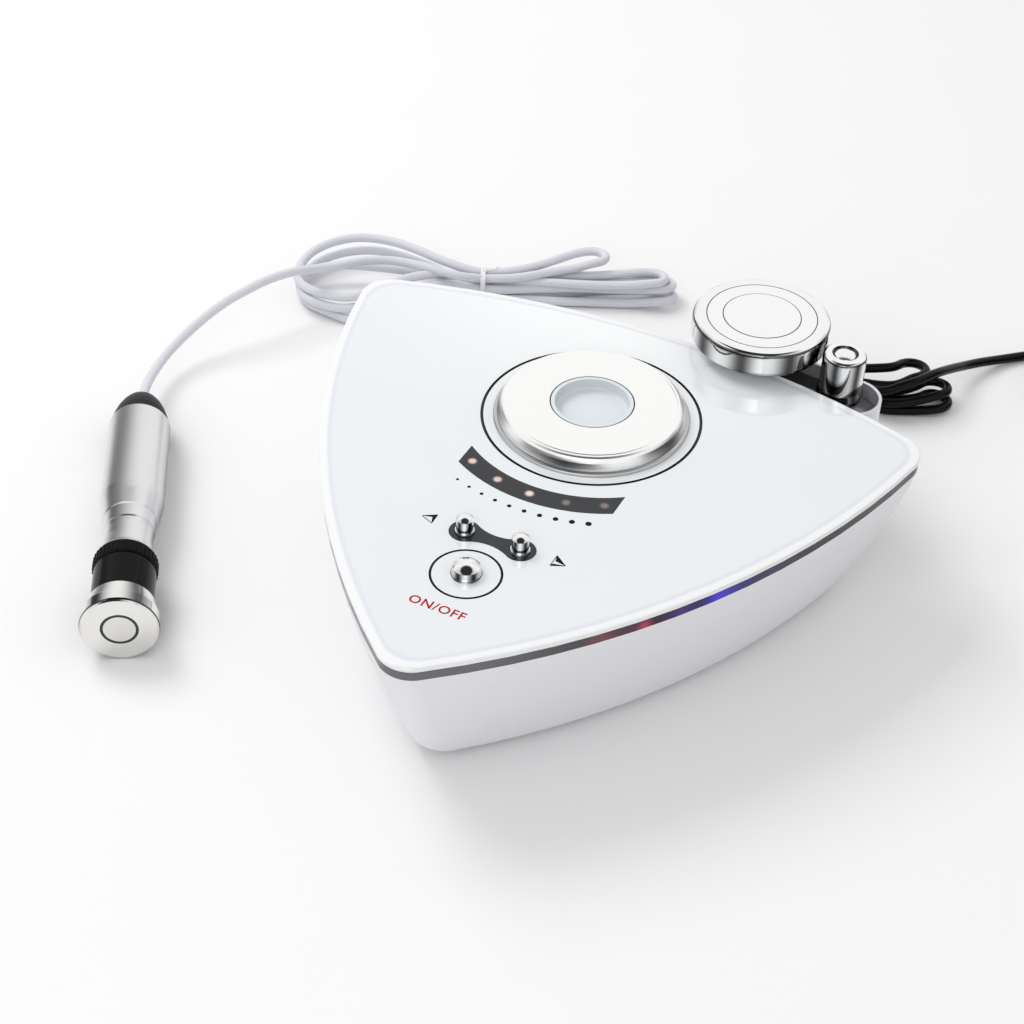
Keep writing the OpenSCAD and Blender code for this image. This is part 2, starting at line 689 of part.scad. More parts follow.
plug_strip_w = 16;
ribbon_y0 = main_y0 + 6;
ribbon_y1 = -54;
plug_strip_h = 5;
ribbon_t = 0.9;
ribbon_rise = 6;
ribbon_foot = main_z + board_t + plug_strip_h;
ribbon_head = control_z - plug_strip_h;
module ribbon_run(a, b) {
    d = (b - a) / norm(b - a);
    n = [-d[1], d[0]] * ribbon_t / 2;
    polygon([a + n, b + n, b - n, a - n]);
}
module ribbon_cable() {
    w = plug_strip_w;
    knee0 = [ribbon_y0, ribbon_foot + ribbon_rise];
    knee1 = [ribbon_y1, ribbon_head - ribbon_rise];
    color("lightgray") {
        translate([-w / 2, ribbon_y0 - 3, main_z + board_t]) cube([w, 6, plug_strip_h]);
        translate([-w / 2, ribbon_y1 - 3, ribbon_head]) cube([w, 6, plug_strip_h]);
        translate([-w / 2 + 1, 0, 0]) rotate([90, 0, 90]) linear_extrude(w - 2) {
            ribbon_run([ribbon_y0, ribbon_foot - 0.5], knee0);
            ribbon_run(knee0, knee1);
            ribbon_run(knee1, [ribbon_y1, ribbon_head + 0.5]);
            for (k = [knee0, knee1]) translate(k) circle(r = ribbon_t / 2, $fn = 24);
        }
    }
}

module main_board() {
    color("green") translate([0, 0, main_z]) linear_extrude(board_t) difference() {
        translate([-main_x, main_y0]) square([2 * main_x, main_y1 - main_y0]);
        for (p = main_screws) translate(p) circle(r = small_r + 0.2, $fn = 24);
    }
}
part_z = main_z + board_t;
module rf_transformer() {
    color("goldenrod") translate([-28, 2, part_z]) {
        translate([-13, -9, 0]) cube([26, 18, 4]);
        translate([-13, -9, 16]) cube([26, 18, 4]);
        for (x = [-13, 9]) translate([x, -9, 4]) cube([4, 18, 12]);
        translate([0, 0, 4]) cylinder(r = 7.5, h = 12, $fn = 64);
    }
}
cap_r = 5;
cap_h = 20;
small_cap_r = 4;
small_cap_h = 14;
caps_at = [[-4, 20, cap_r, cap_h], [8, 22, small_cap_r, small_cap_h],
           [-4, -12, small_cap_r, small_cap_h], [-50, 4, cap_r, cap_h - 4]];
module capacitors() {
    color("darkblue") for (c = caps_at)
        translate([c[0], c[1], part_z]) rotate_extrude($fn = 48)
            polygon([[0, 0], [c[2], 0], [c[2], c[3] - 0.8], [c[2] - 0.8, c[3]], [0, c[3]]]);
}
fin_n = 6;
fin_pitch = 4;
fin_t = 1.6;
sink_at = [20, -12];
sink_l = 24;
sink_w = fin_pitch * (fin_n - 1) + fin_t;
module heat_sink() {
    color("darkgray") translate([sink_at[0], sink_at[1], part_z]) {
        cube([sink_w, sink_l, 3]);
        for (k = [0 : fin_n - 1]) translate([k * fin_pitch, 0, 3]) cube([fin_t, sink_l, 16]);
    }
}
buzzer_r = 6;
buzzer_gap = 0.4;
module buzzer() {
    color("black") translate([sink_at[0] + sink_w + buzzer_gap + buzzer_r, 14, part_z]) difference() {
        cylinder(r = buzzer_r, h = 9, $fn = 64);
        translate([0, 0, 6]) cylinder(r = 1.2, h = 4, $fn = 24);
    }
}

lamp_n = 6;
function strip_angle(k) = -44 + 24 * k / (lamp_n - 1);
module band_lamps() {
    z = rim_z + 0.4;
    color("mediumpurple") {
        translate([0, 0, z]) intersection() {
            plan_ring(lamp_strip, lip_in, band_h - 0.8);
            translate([-200, side_c[1] + side_r * sin(strip_angle(-0.5)), -1])
                cube([400, side_r * (sin(strip_angle(lamp_n - 0.5)) - sin(strip_angle(-0.5))), band_h + 2]);
        }
        for (s = [0, 1], k = [0 : lamp_n - 1]) mirror([s, 0, 0])
            translate([side_c[0], side_c[1], z]) rotate([0, 0, strip_angle(k)])
                translate([side_r - lamp_strip - 0.5, -1.7, 0.4]) cube([1.6, 3.4, band_h - 1.6]);
    }
}

// Round metal socket for the handpiece lead
socket_thread_r = 6;
socket_collar_r = 7;
module lead_socket() {
    color("silver") along_y(lead_socket_x, lead_face, socket_z) difference() {
        union() {
            translate([0, 0, -boss_in - 6]) cylinder(r = socket_thread_r, h = boss_in + 6, $fn = 64);
            cylinder(r = socket_boss_r - 0.8, h = 2, $fn = 64);
            translate([0, 0, 2]) cylinder(r = socket_collar_r, h = 6, $fn = 64);
            translate([0, 0, -boss_in - 2.5]) cylinder(r = socket_thread_r + 2.6, h = 2.5, $fn = 6);
        }
        translate([0, 0, 0]) cylinder(r = 5.6, h = 9, $fn = 64);
    }
}
jack_thread_r = 4;
jack_hole_r = 2.75;
module dc_jack() {
    color("black") along_y(dc_jack_x, jack_face, socket_z) {
        difference() {
            union() {
                translate([0, 0, -boss_in - 4]) cylinder(r = jack_thread_r, h = boss_in + 4, $fn = 64);
                cylinder(r = 6, h = 1.5, $fn = 64);
                translate([0, 0, -boss_in - 2]) cylinder(r = 6, h = 2, $fn = 6);
            }
            translate([0, 0, -9]) cylinder(r = jack_hole_r, h = 11, $fn = 48);
        }
        translate([0, 0, -9.1]) cylinder(r = 0.95, h = 9, $fn = 32);
    }
}

// ---- Probe tray ----

module tray_solid(r, z0, z1) {
    translate([tray_end[0], tray_end[1], z0]) rotate([0, 0, tray_turn]) {
        cylinder(r = r, h = z1 - z0, $fn = 96);
        translate([-tray_len, 0, 0]) cylinder(r = r, h = z1 - z0, $fn = 96);
        translate([-tray_len, -r, 0]) cube([tray_len, 2 * r, z1 - z0]);
    }
}
web_screws = [web_x0 + 4, web_x1 - 4];
web_inner_y = 30;
function web_seat(x) = back_y(x, bowl_inset(web_screw_z - small_head_r) + wall);
module probe_tray() {
    color("white") difference() {
        union() {
            tray_solid(tray_r, tray_foot_z, tray_rim_z);
            difference() {
                translate([web_x0, web_inner_y + 10, tray_foot_z + 2])
                    cube([web_x1 - web_x0, tray_y1 - web_inner_y - 10, tray_depth - 4]);
                bowl_outside();
            }
        }
        tray_solid(tray_r - tray_wall, tray_floor_z, tray_rim_z + 1);
        for (x = web_screws)
            along_y(x, web_inner_y + 8, web_screw_z) cylinder(r = small_r + screw_gap, h = web_seat(x) - web_inner_y - 8 + small_l + 1, $fn = 24);
    }
}
module tray_liner() {
    color("dimgray") difference() {
        tray_solid(tray_r - tray_wall - liner_gap, tray_floor_z, liner_z);
        for (p = [eye_at, disc_at])
            translate([p[0], p[1], stem_foot - 0.5]) cylinder(r = stem_r + stem_gap, h = tray_depth, $fn = 64);
    }
}

// ---- Spare probes ----

module body_probe_shell() {
    r = disc_r;
    t = disc_t;
    e = 2;
    color("silver") translate([disc_at[0], disc_at[1], disc_z]) difference() {
        rotate_extrude($fn = 160) polygon(concat(
            [[0, 0], [r - 2.2, 0], [r - 1, 0.4], [r - 0.3, 1.2], [r, 2.2]],
            [for (a = [0 : 15 : 90]) [r - e + e * cos(a), t - e + e * sin(a)]],
            [[0, t]]));
        translate([0, 0, t - 1.6]) cylinder(r = disc_face_r, h = 3, $fn = 128);
        translate([0, 0, -1]) cylinder(r = stem_r + screw_gap, h = 4, $fn = 64);
    }
}
module body_probe_rings() {
    color("black") translate([disc_at[0], disc_at[1], disc_z + disc_t - 1.6]) {
        for (r = [disc_face_r, disc_core_r]) difference() {
            cylinder(r = r, h = 1.55, $fn = 128);
            translate([0, 0, -1]) cylinder(r = r - insulator_w, h = 4, $fn = 128);
        }
    }
}
module body_probe_faces() {
    color("whitesmoke") translate([disc_at[0], disc_at[1], disc_z + disc_t - 1.6]) {
        cylinder(r = disc_core_r - insulator_w, h = 1.7, $fn = 128);
        difference() {
            cylinder(r = disc_face_r - insulator_w, h = 1.6, $fn = 128);
            translate([0, 0, -1]) cylinder(r = disc_core_r, h = 4, $fn = 128);
        }
    }
}
// The stem that every probe plugs in with: a shoulder, a shaft and a contact tip
module stem(shoulder, l) {
    rotate_extrude($fn = 64) polygon([
        [0, -l], [1.2, -l], [1.2, -l + 3], [stem_r - 0.6, -l + 3], [stem_r, -l + 3.6], [stem_r, -shoulder],
        [stem_top_r, -shoulder], [stem_top_r, -0.4], [stem_top_r - 0.4, 0], [stem_r, 0], [stem_r, 2.8], [0, 2.8]]);
}
module body_probe_stem() {
    color("silver") translate([disc_at[0], disc_at[1], disc_z]) stem(disc_z - liner_z - rest_seat, disc_z - stem_foot);
}

module eye_probe_shell() {
    h = eye_h;
    e = 1.6;
    color("silver") translate([eye_at[0], eye_at[1], eye_z]) difference() {
        rotate_extrude($fn = 128) polygon(concat(
            [[0, 0], [eye_r0 - 1, 0], [eye_r0, 1], [eye_r0, 2.6], [eye_r0 - 0.9, 5]],
            [for (a = [0 : 15 : 90]) [eye_r1 - e + e * cos(a), h - e + e * sin(a)]],
            [[0, h]]));
        translate([0, 0, h - 2.2]) cylinder(r = eye_well_r, h = 4, $fn = 64);
        translate([0, 0, -1]) cylinder(r = stem_r + screw_gap, h = 4, $fn = 64);
    }
}
module eye_probe_ring() {
    color("black") translate([eye_at[0], eye_at[1], eye_z + eye_h - 2.2]) difference() {
        cylinder(r = eye_well_r, h = 1.4, $fn = 64);
        translate([0, 0, -1]) cylinder(r = eye_well_r - 1, h = 4, $fn = 64);
    }
}
module eye_probe_tip() {
    r = eye_well_r - 1;
    color("silver") translate([eye_at[0], eye_at[1], eye_z + eye_h - 2.2]) rotate_extrude($fn = 64)
        polygon(concat([[0, 0], [r, 0]], [for (a = [0 : 15 : 90]) [r * cos(a), 1.4 + 0.9 * sin(a)]]));
}
module eye_probe_stem() {
    color("silver") translate([eye_at[0], eye_at[1], eye_z]) stem(eye_z - liner_z - rest_seat, eye_z - stem_foot);
}

// ---- Handpiece, drawn along its own axis and laid on the table ----

module in_hand() {
    translate(hand_tail) rotate([0, 90 - hand_tilt, hand_yaw]) children();
}
module turned(profile, n = 96) {
    rotate_extrude($fn = n) polygon(profile);
}

module hand_tail_cap() {
    color("dimgray") in_hand() difference() {
        turned(concat(
            [[0, 0], [lead_d / 2 + 0.6, 0]],
            [for (a = [15 : 9.5 : 72]) [(grip_r - 0.4) * sin(a) / sin(72), tail_cap_len * (1 - cos(a)) / (1 - cos(72))]],
            [[0, tail_cap_len]]));
        translate([0, 0, -1]) cylinder(r = lead_d / 2 - 0.4, h = 8, $fn = 32);
    }
}
module hand_grip() {
    color("silver") in_hand() difference() {
        turned(concat(
            [[0, tail_cap_len], [grip_r - 0.3, tail_cap_len], [grip_r, tail_cap_len + 0.6],
             [grip_r, grip_end - 3], [grip_r - 0.3, grip_end]],
            [[grip_r - 1.6, grip_end + 8], [grip_r - 2, grip_end + 8.4], [neck_r + 0.5, neck_start - 1.6],
             [neck_r + 0.2, neck_start - 1], [neck_r, neck_start + 1], [neck_r, neck_start + 6],
             [neck_r + 0.6, coupling_s - 3], [neck_r + 1.8, coupling_s], [0, coupling_s]]));
        translate([0, 0, coupling_s - 24]) cylinder(r = neck_r - 2.2, h = 30, $fn = 64);
    }
}
// The spigot of the black sleeve, which the coupling ring turns on
spigot_r = neck_r - 1.4;
module hand_coupling() {
    len = sleeve_s - coupling_s - 2 * hand_gap;
    color("black") in_hand() translate([0, 0, coupling_s + hand_gap]) difference() {
        union() {
            turned([[0, 0], [coupling_r - 0.6, 0], [coupling_r - 0.3, 0.6], [coupling_r - 0.3, len - 0.6],
                    [coupling_r - 0.6, len], [0, len]]);
            for (k = [0 : ridge_count - 1]) rotate([0, 0, 360 * k / ridge_count])
                translate([coupling_r - 0.8, -0.35, 1]) cube([0.8, 0.7, len - 2]);
        }
        translate([0, 0, -1]) cylinder(r = spigot_r + key_gap, h = len + 2, $fn = 64);
    }
}
module hand_sleeve() {
    color("black") in_hand() difference() {
        union() {
            translate([0, 0, coupling_s]) cylinder(r = spigot_r, h = sleeve_s - coupling_s, $fn = 64);
            turned([[0, sleeve_s], [sleeve_r - 0.4, sleeve_s], [sleeve_r, sleeve_s + 0.4],
                    [sleeve_r, head_s - hand_gap], [0, head_s - hand_gap]]);
        }
        translate([0, 0, coupling_s - 1]) cylinder(r = stem_r + key_gap, h = 40, $fn = 64);
    }
}
// The contact block inside the neck
module hand_contacts() {
    color("goldenrod") in_hand() difference() {
        translate([0, 0, coupling_s - 24]) cylinder(r = neck_r - 2.25, h = 24, $fn = 64);
        translate([0, 0, coupling_s - 12]) cylinder(r = stem_r + key_gap, h = 13, $fn = 64);
    }
}

module head_shell() {
    color("silver") in_hand() difference() {
        turned([[0, head_s], [sleeve_r - 0.2, head_s], [sleeve_r + 0.9, head_s + 0.8], [head_r - 0.9, head_rim_s - 1.4],
                [head_r - 0.2, head_rim_s - 0.5], [head_r, head_rim_s + 0.3], [head_r, hand_len - 1],
                [head_r - 0.3, hand_len - 0.3], [head_r - 1, hand_len], [0, hand_len]], 128);
        translate([0, 0, hand_len - 1.6]) cylinder(r = head_groove_r, h = 3, $fn = 96);
        translate([0, 0, head_s - 1]) cylinder(r = stem_r - 0.2, h = 5, $fn = 64);
    }
}
module head_ring() {
    color("black") in_hand() translate([0, 0, hand_len - 1.6]) difference() {
        cylinder(r = head_groove_r, h = 1.45, $fn = 96);
        translate([0, 0, -1]) cylinder(r = head_groove_r - head_ring_w, h = 4, $fn = 96);
    }
}
module head_face() {
    color("whitesmoke") in_hand() translate([0, 0, hand_len - 1.6]) cylinder(r = head_groove_r - head_ring_w, h = 1.6, $fn = 96);
}
module head_stem() {
    color("silver") in_hand() turned([
        [0, coupling_s - 11.5], [1.2, coupling_s - 11.5], [1.2, coupling_s - 8], [stem_r - 0.6, coupling_s - 8],
        [stem_r, coupling_s - 7.4], [stem_r, head_s], [stem_r - 0.25, head_s], [stem_r - 0.25, head_s + 3.9],
        [0, head_s + 3.9]], 64);
}

// ---- Cords ----

// A round cord through a list of points
cord_sides = 8;
function unit(v) = v / norm(v);
function cord_ring(p, d, r) =
    let(side = unit(cross(d, [0, 0, 1])), up = cross(side, d))
    [for (k = [0 : cord_sides - 1]) let(a = 360 * k / cord_sides) p + r * (cos(a) * side - sin(a) * up)];
module cord(pts, r) {
    n = len(pts);
    loft([for (k = [0 : n - 1]) cord_ring(pts[k], unit(pts[min(k + 1, n - 1)] - pts[max(k - 1, 0)]), r)]);
}

// Ends of the cords at their plugs, in the direction that each plug points
lead_grip = 42;
dc_grip = 34;
hand_axis = [cos(hand_tilt) * cos(hand_yaw), cos(hand_tilt) * sin(hand_yaw), sin(hand_tilt)];
lead_start = hand_tail - hand_gap * hand_axis;
lead_end = [lead_socket_x, lead_face + lead_grip, socket_z];
power_start = [dc_jack_x, jack_face + dc_grip, socket_z];
power_end = [plug_at[0] - 10, plug_at[1], 13.4];
straight = 2.5;

module lead_cord() {
    color("lightgray") {
        cord(concat([lead_start], lead_out), lead_d / 2);
        cord(concat(lead_back, [lead_end + [0, straight, 0], lead_end]), lead_d / 2);
    }
}
module lobes(a, ra, w, rw, b, rb, h) {
    linear_extrude(h) {
        hull() {
            translate(a) circle(r = ra, $fn = 36);
            translate(w) circle(r = rw, $fn = 24);
        }
        hull() {
            translate(b) circle(r = rb, $fn = 36);
            translate(w) circle(r = rw, $fn = 24);
        }
    }
}
module lead_hank() {
    color("lightgray") lobes(hank_left, hank_r0, hank_tie, hank_waist, hank_right, hank_r1, hank_h);
}
// A moulded plug on a lead: a coupling, a body and a ribbed strain relief
module relief(r0, r1, z0, z1) {
    n = 5;
    step = (z1 - z0) / n;
    for (k = [0 : n - 1]) let(r = r0 + (r1 - r0) * k / n)
        turned([[0, z0 + k * step], [r, z0 + k * step], [r, z0 + (k + 0.6) * step],
                [r * 0.84, z0 + (k + 0.6) * step], [r * 0.84, z0 + (k + 1) * step], [0, z0 + (k + 1) * step]], 32);
}
module lead_plug() {
    color("gray") along_y(lead_socket_x, lead_face, socket_z) {
        difference() {
            turned([[0, 2.3], [socket_collar_r + 1, 2.3], [socket_collar_r + 1.5, 2.8], [socket_collar_r + 1.5, 10],
                    [socket_collar_r + 1, 10.6], [6.4, 10.6], [6.4, 24], [5.6, 25], [0, 25]], 64);
            translate([0, 0, 2]) cylinder(r = socket_collar_r + screw_gap, h = 6.3, $fn = 64);
        }
        translate([0, 0, 1]) cylinder(r = 5.5, h = 8, $fn = 48);
        relief(5, lead_d / 2 + 0.7, 25, lead_grip);
    }
}
module dc_plug() {
    color("black") along_y(dc_jack_x, jack_face, socket_z) {
        difference() {
            translate([0, 0, -8.6]) cylinder(r = jack_hole_r - screw_gap, h = 12, $fn = 48);
            translate([0, 0, -9.6]) cylinder(r = 1.1, h = 11, $fn = 32);
        }
        turned([[0, 1.8], [4.4, 1.8], [5, 2.4], [5, 15], [3.9, 18], [0, 18]], 48);
        relief(3.6, power_d / 2 + 0.6, 18, dc_grip);
    }
}
module power_cord() {
    color("black") {
        cord(concat([power_start, power_start + [0, straight, 0]], power_in), power_d / 2);
        cord(power_out, power_d / 2);
        cord(concat(power_tail, [power_end - [straight, 0, 0], power_end]), power_d / 2);
    }
}
module power_hank() {
    color("black") lobes(bundle_left, bundle_r0, bundle_waist, bundle_w, bundle_right, bundle_r1, bundle_h);
}
coil_half = power_d;
module power_coil() {
    h = coil_rows * power_d;
    color("black") translate([coil_at[0], coil_at[1], 0]) rotate_extrude($fn = 64) polygon([
        [coil_r - coil_half, 0.5], [coil_r - coil_half + 0.5, 0], [coil_r + coil_half - 0.5, 0],
        [coil_r + coil_half, 0.5], [coil_r + coil_half, h - 1], [coil_r + coil_half - 1, h],
        [coil_r - coil_half + 1, h], [coil_r - coil_half, h - 1]]);
}
module power_plug() {
    color("black") translate([plug_at[0], plug_at[1], 0]) {
        translate([0, -plug_w / 2, 0]) cube([plug_l, plug_w, plug_h]);
        translate([0, 0, power_end[2]]) rotate([0, -90, 0]) relief(4, power_d / 2 + 0.6, 0, 10);
        for (s = [-1, 1]) translate([plug_l, s * 9.5, plug_h / 2]) rotate([0, 90, 0]) cylinder(r = 2, h = 19, $fn = 32);
    }
}
// The twist ties round the waists of the two hanks
module tie(at, a, w, h) {
    translate([at[0], at[1], 0]) rotate([0, 0, a])
        translate([-tie_w / 2, -w / 2, 0]) cube([tie_w, w, h + 0.6]);
}
module cord_ties() {
    color("white") {
        difference() {
            tie(hank_tie, bearing(hank_right - hank_left), 26, hank_h);
            lead_hank();
        }
        difference() {
            tie(bundle_waist, bearing(bundle_right - bundle_left), 15, bundle_h);
            power_hank();
        }
    }
}

base_shell();
light_band();
top_cover();
feet();
case_screws();
small_screws();
dock_ring();
dock_cup();
dock_nut();
level_window();
level_lamps();
key_plate();
key_collars();
power_collar();
power_button();
minus_button();
plus_button();
power_plunger();
minus_plunger();
plus_plunger();
key_switches();
control_board();
ribbon_cable();
main_board();
rf_transformer();
capacitors();
heat_sink();
buzzer();
band_lamps();
dc_jack();
lead_socket();
probe_tray();
tray_liner();
body_probe_shell();
body_probe_rings();
body_probe_faces();
body_probe_stem();
eye_probe_shell();
eye_probe_ring();
eye_probe_tip();
eye_probe_stem();
hand_grip();
hand_tail_cap();
hand_coupling();
hand_sleeve();
hand_contacts();
head_shell();
head_ring();
head_face();
head_stem();
lead_plug();
lead_cord();
lead_hank();
dc_plug();
power_cord();
power_hank();
power_coil();
power_plug();
cord_ties();
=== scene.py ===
"""Facial toning device: cords, printed marks, finishes and stage over the built frame."""

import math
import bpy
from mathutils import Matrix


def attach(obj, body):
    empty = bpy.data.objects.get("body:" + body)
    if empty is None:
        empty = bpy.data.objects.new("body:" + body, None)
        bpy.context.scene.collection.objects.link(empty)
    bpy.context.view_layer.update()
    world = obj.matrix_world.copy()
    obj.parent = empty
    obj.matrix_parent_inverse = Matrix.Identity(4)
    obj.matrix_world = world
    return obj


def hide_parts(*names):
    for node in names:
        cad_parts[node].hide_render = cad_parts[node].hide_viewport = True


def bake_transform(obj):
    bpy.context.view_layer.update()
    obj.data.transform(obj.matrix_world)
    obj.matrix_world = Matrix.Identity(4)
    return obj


bl_info = {
    "name": "Facial Toning Device",
    "version": (1, 0, 0),
    "blender": (4, 5, 0),
    "location": "View3D > Sidebar > Toning Device",
    "description": "Dresses the toning device: cords, printed marks, finishes, lamps and stage",
    "category": "Object",
}

import bpy
import numpy as np
from bpy.props import FloatProperty, FloatVectorProperty, IntProperty, PointerProperty
from mathutils import Matrix, Vector

MM = 0.001
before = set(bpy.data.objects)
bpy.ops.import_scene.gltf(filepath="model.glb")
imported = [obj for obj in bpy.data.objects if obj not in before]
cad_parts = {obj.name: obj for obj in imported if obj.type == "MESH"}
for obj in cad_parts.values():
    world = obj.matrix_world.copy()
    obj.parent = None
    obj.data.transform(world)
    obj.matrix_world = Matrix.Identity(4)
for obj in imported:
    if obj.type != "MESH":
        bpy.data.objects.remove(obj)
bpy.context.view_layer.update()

# ---- Places that the construction gives, in millimetres ----

COVER_TOP = 64.0
BAND_HEIGHT = 59.0
POWER_KEY = (0.0, -99.3, 0.0)
MINUS_KEY = (-10.6, -80.0, 0.0)
PLUS_KEY = (10.6, -80.0, 0.0)
BODY_PROBE = (38.02, 71.10, 0.0)
EYE_PROBE = (73.54, 66.61, 0.0)
HAND_TAIL = (-193.2, -15.0, 11.819)
HAND_AXIS = (0.520914, -0.853394, 0.019177)
DOCK_AXIS = (0.0, 0.0, 0.0)
DOCK_TOP = 70.4
DOCK_MOUTH = 15.65
DOCK_LINE = 40.3
TRAY_START = (78.4, 66.0, 0.0)
TRAY_END = (28.8, 72.27, 0.0)
TRAY_INNER = 10.5
TRAY_RIM = 58.0

# ---- Marks and lamps on the top, in millimetres and degrees ----

# Lamps on an arc behind the window, and their brightness from left to right
LAMP_CENTRE = (0.0, 3.0)
LAMP_RADIUS = 54.45
LAMP_STEP = 14.2
LAMP_REACH = 2.1
LAMP_LEVELS = (0.9, 0.85, 1.0, 0.22, 0.22)

# Dots on a wider arc, growing to the right
DOT_CENTRE = (-0.55, 13.73)
DOT_RADIUS = 74.6
DOT_COUNT = 10
DOT_FIRST = -19.8
DOT_STEP = 39.9 / 9
DOT_SIZE = 0.56
DOT_GROWTH = 0.062

TRIANGLE_LINE = 0.28
WORD_AT = (-0.66, -118.5)
CAPITAL_SHARE = 0.7
LETTER_WEIGHT = 0.07
INK_GAP = 0.01

# Glow behind the band, as (x, y, reach, colour, level)
BAND_LAMPS = [
    (53.5, -103.5, 10.0, (0.22, 0.03, 0.035), 0.8), (61.0, -89.0, 4.2, (0.42, 0.02, 0.07), 0.9),
    (60.0, -91.0, 13.0, (0.10, 0.02, 0.05), 0.8), (68.0, -77.0, 11.0, (0.06, 0.02, 0.20), 0.9),
    (76.0, -64.5, 7.0, (0.02, 0.01, 0.60), 0.9), (78.0, -61.0, 17.0, (0.05, 0.03, 0.35), 0.9),
    (88.0, -44.0, 20.0, (0.05, 0.03, 0.12), 0.6),
]

# ---- Routes of the cords, in millimetres ----

# The grey lead: out of the back, round to its tie, four folds to the right of it and three to the left in
# turn, then the handpiece
LEAD_ROUTE = [
    (-35, 94.62, 20), (-35, 97.1, 19.8), (-35.7, 101.6, 17.7), (-37.6, 107, 14.2), (-42.6, 112.9, 9.6),
    (-51, 117.4, 5.6), (-64, 119.6, 3), (-80, 119, 2.3), (-97, 115, 2.3), (-112, 110.4, 2.3),
    (-122, 109.6, 2.3), (-129.5, 113.6, 2.3), (-131.5, 121, 2.3), (-127, 128, 2.3), (-121, 131.8, 2.3),
    (-113.5, 135.6, 2.3), (-97, 141.5, 2.3), (-80, 151.5, 2.6), (-66.4, 160.3, 3.4), (-51.9, 167.8, 3.8),
    (-44.9, 174.4, 2.4), (-40.8, 175.9, 2.6), (-36.8, 174.4, 3.2), (-34.6, 170.6, 4), (-35.4, 166.4, 4.6),
    (-38.7, 163.7, 4.8), (-50.2, 159.8, 2.3), (-67.2, 151.4, 2.3), (-84, 143.5, 2.3), (-111.5, 131.5, 2.3),
    (-127, 121, 5), (-135, 109, 5.6), (-145, 96, 3.4), (-155, 87, 2.3), (-162.4, 87.2, 2.3),
    (-179, 90, 2.4), (-188, 100, 3), (-190, 113, 4), (-184, 127, 5), (-170, 137, 5.6), (-150, 140.4, 4.4),
    (-131, 139.6, 2.8), (-115.5, 139.7, 2.3), (-97, 146.6, 3.6), (-80, 160, 5), (-59.3, 165.9, 6.8),
    (-45.9, 177.3, 6.6), (-41.7, 178.3, 6.8), (-37.9, 176.3, 7.4), (-36.2, 172.4, 8.2), (-37.4, 168.2, 8.8),
    (-41, 165.9, 9), (-50.3, 163.7, 7), (-75.2, 151.9, 6.8), (-92, 143, 6.2), (-111.5, 131.5, 6.6),
    (-127, 124, 9), (-136, 112, 9.4), (-150, 96, 6.9), (-157.8, 88.3, 6.4), (-167.2, 85.9, 6.6),
    (-175.7, 86.4, 7), (-182.8, 91.3, 7.4), (-186.1, 99.4, 8), (-182.9, 107.2, 8.6), (-175.4, 114, 9),
    (-160.8, 120.3, 9), (-145.8, 126, 8.4), (-131.1, 132.2, 7.4), (-115.5, 139.7, 6.6), (-101.4, 148.7, 8),
    (-84.1, 154.6, 9.4), (-67.9, 162.6, 10), (-54, 171.3, 11), (-49.4, 174.6, 10.8), (-45.3, 175.9, 10.9),
    (-41.3, 174.3, 11.5), (-39.3, 170.5, 12.1), (-40.2, 166.3, 12.7), (-43.7, 163.6, 12.8),
    (-55.2, 158.5, 11), (-70.2, 151.4, 10.8), (-94, 144, 8.8), (-113.5, 135.6, 6.6), (-126, 130, 10.8),
    (-138, 117, 13.2), (-149, 103, 11.8), (-156.5, 92.3, 10.6), (-167.9, 88.2, 10.6), (-177.3, 88.5, 10.8),
    (-184.2, 92.1, 11), (-188.9, 101.7, 11.2), (-189.8, 113.7, 11.6), (-185.3, 124.8, 12.2),
    (-176, 133.3, 12.8), (-161.4, 137.3, 13), (-147, 136.7, 13), (-132.2, 135.1, 12.4),
    (-114.6, 137.8, 10.9), (-100, 146.7, 12), (-91, 155.9, 13.4), (-82.7, 166.9, 14.6), (-78.1, 171.1, 15),
    (-74.2, 172.9, 15.1), (-70, 171.7, 15.5), (-67.6, 168.2, 16.1), (-68, 163.9, 16.5), (-71, 160.9, 16.6),
    (-77.2, 157.4, 14), (-87.6, 149, 13), (-99.6, 139.8, 11.6), (-112.4, 133.4, 10.9),
    (-119.9, 125.2, 14.4), (-136.6, 123.3, 15), (-152.1, 120.7, 15), (-162.1, 111.1, 17),
    (-168.3, 98.1, 19.5), (-174, 88.1, 22), (-178, 81.2, 23.6), (-181.7, 74, 24.4), (-185, 67.1, 24.4),
    (-188.9, 58.6, 23.4), (-193, 51.4, 21.5), (-196.8, 43.8, 18.8), (-200.1, 35.7, 15.6),
    (-202.4, 25.9, 12.6), (-202.8, 15.7, 11), (-200.7, 4.6, 11), (-198.6, -2.8, 11.3), (-196, -9.4, 11.6),
    (-193.2, -15, 11.82),
]

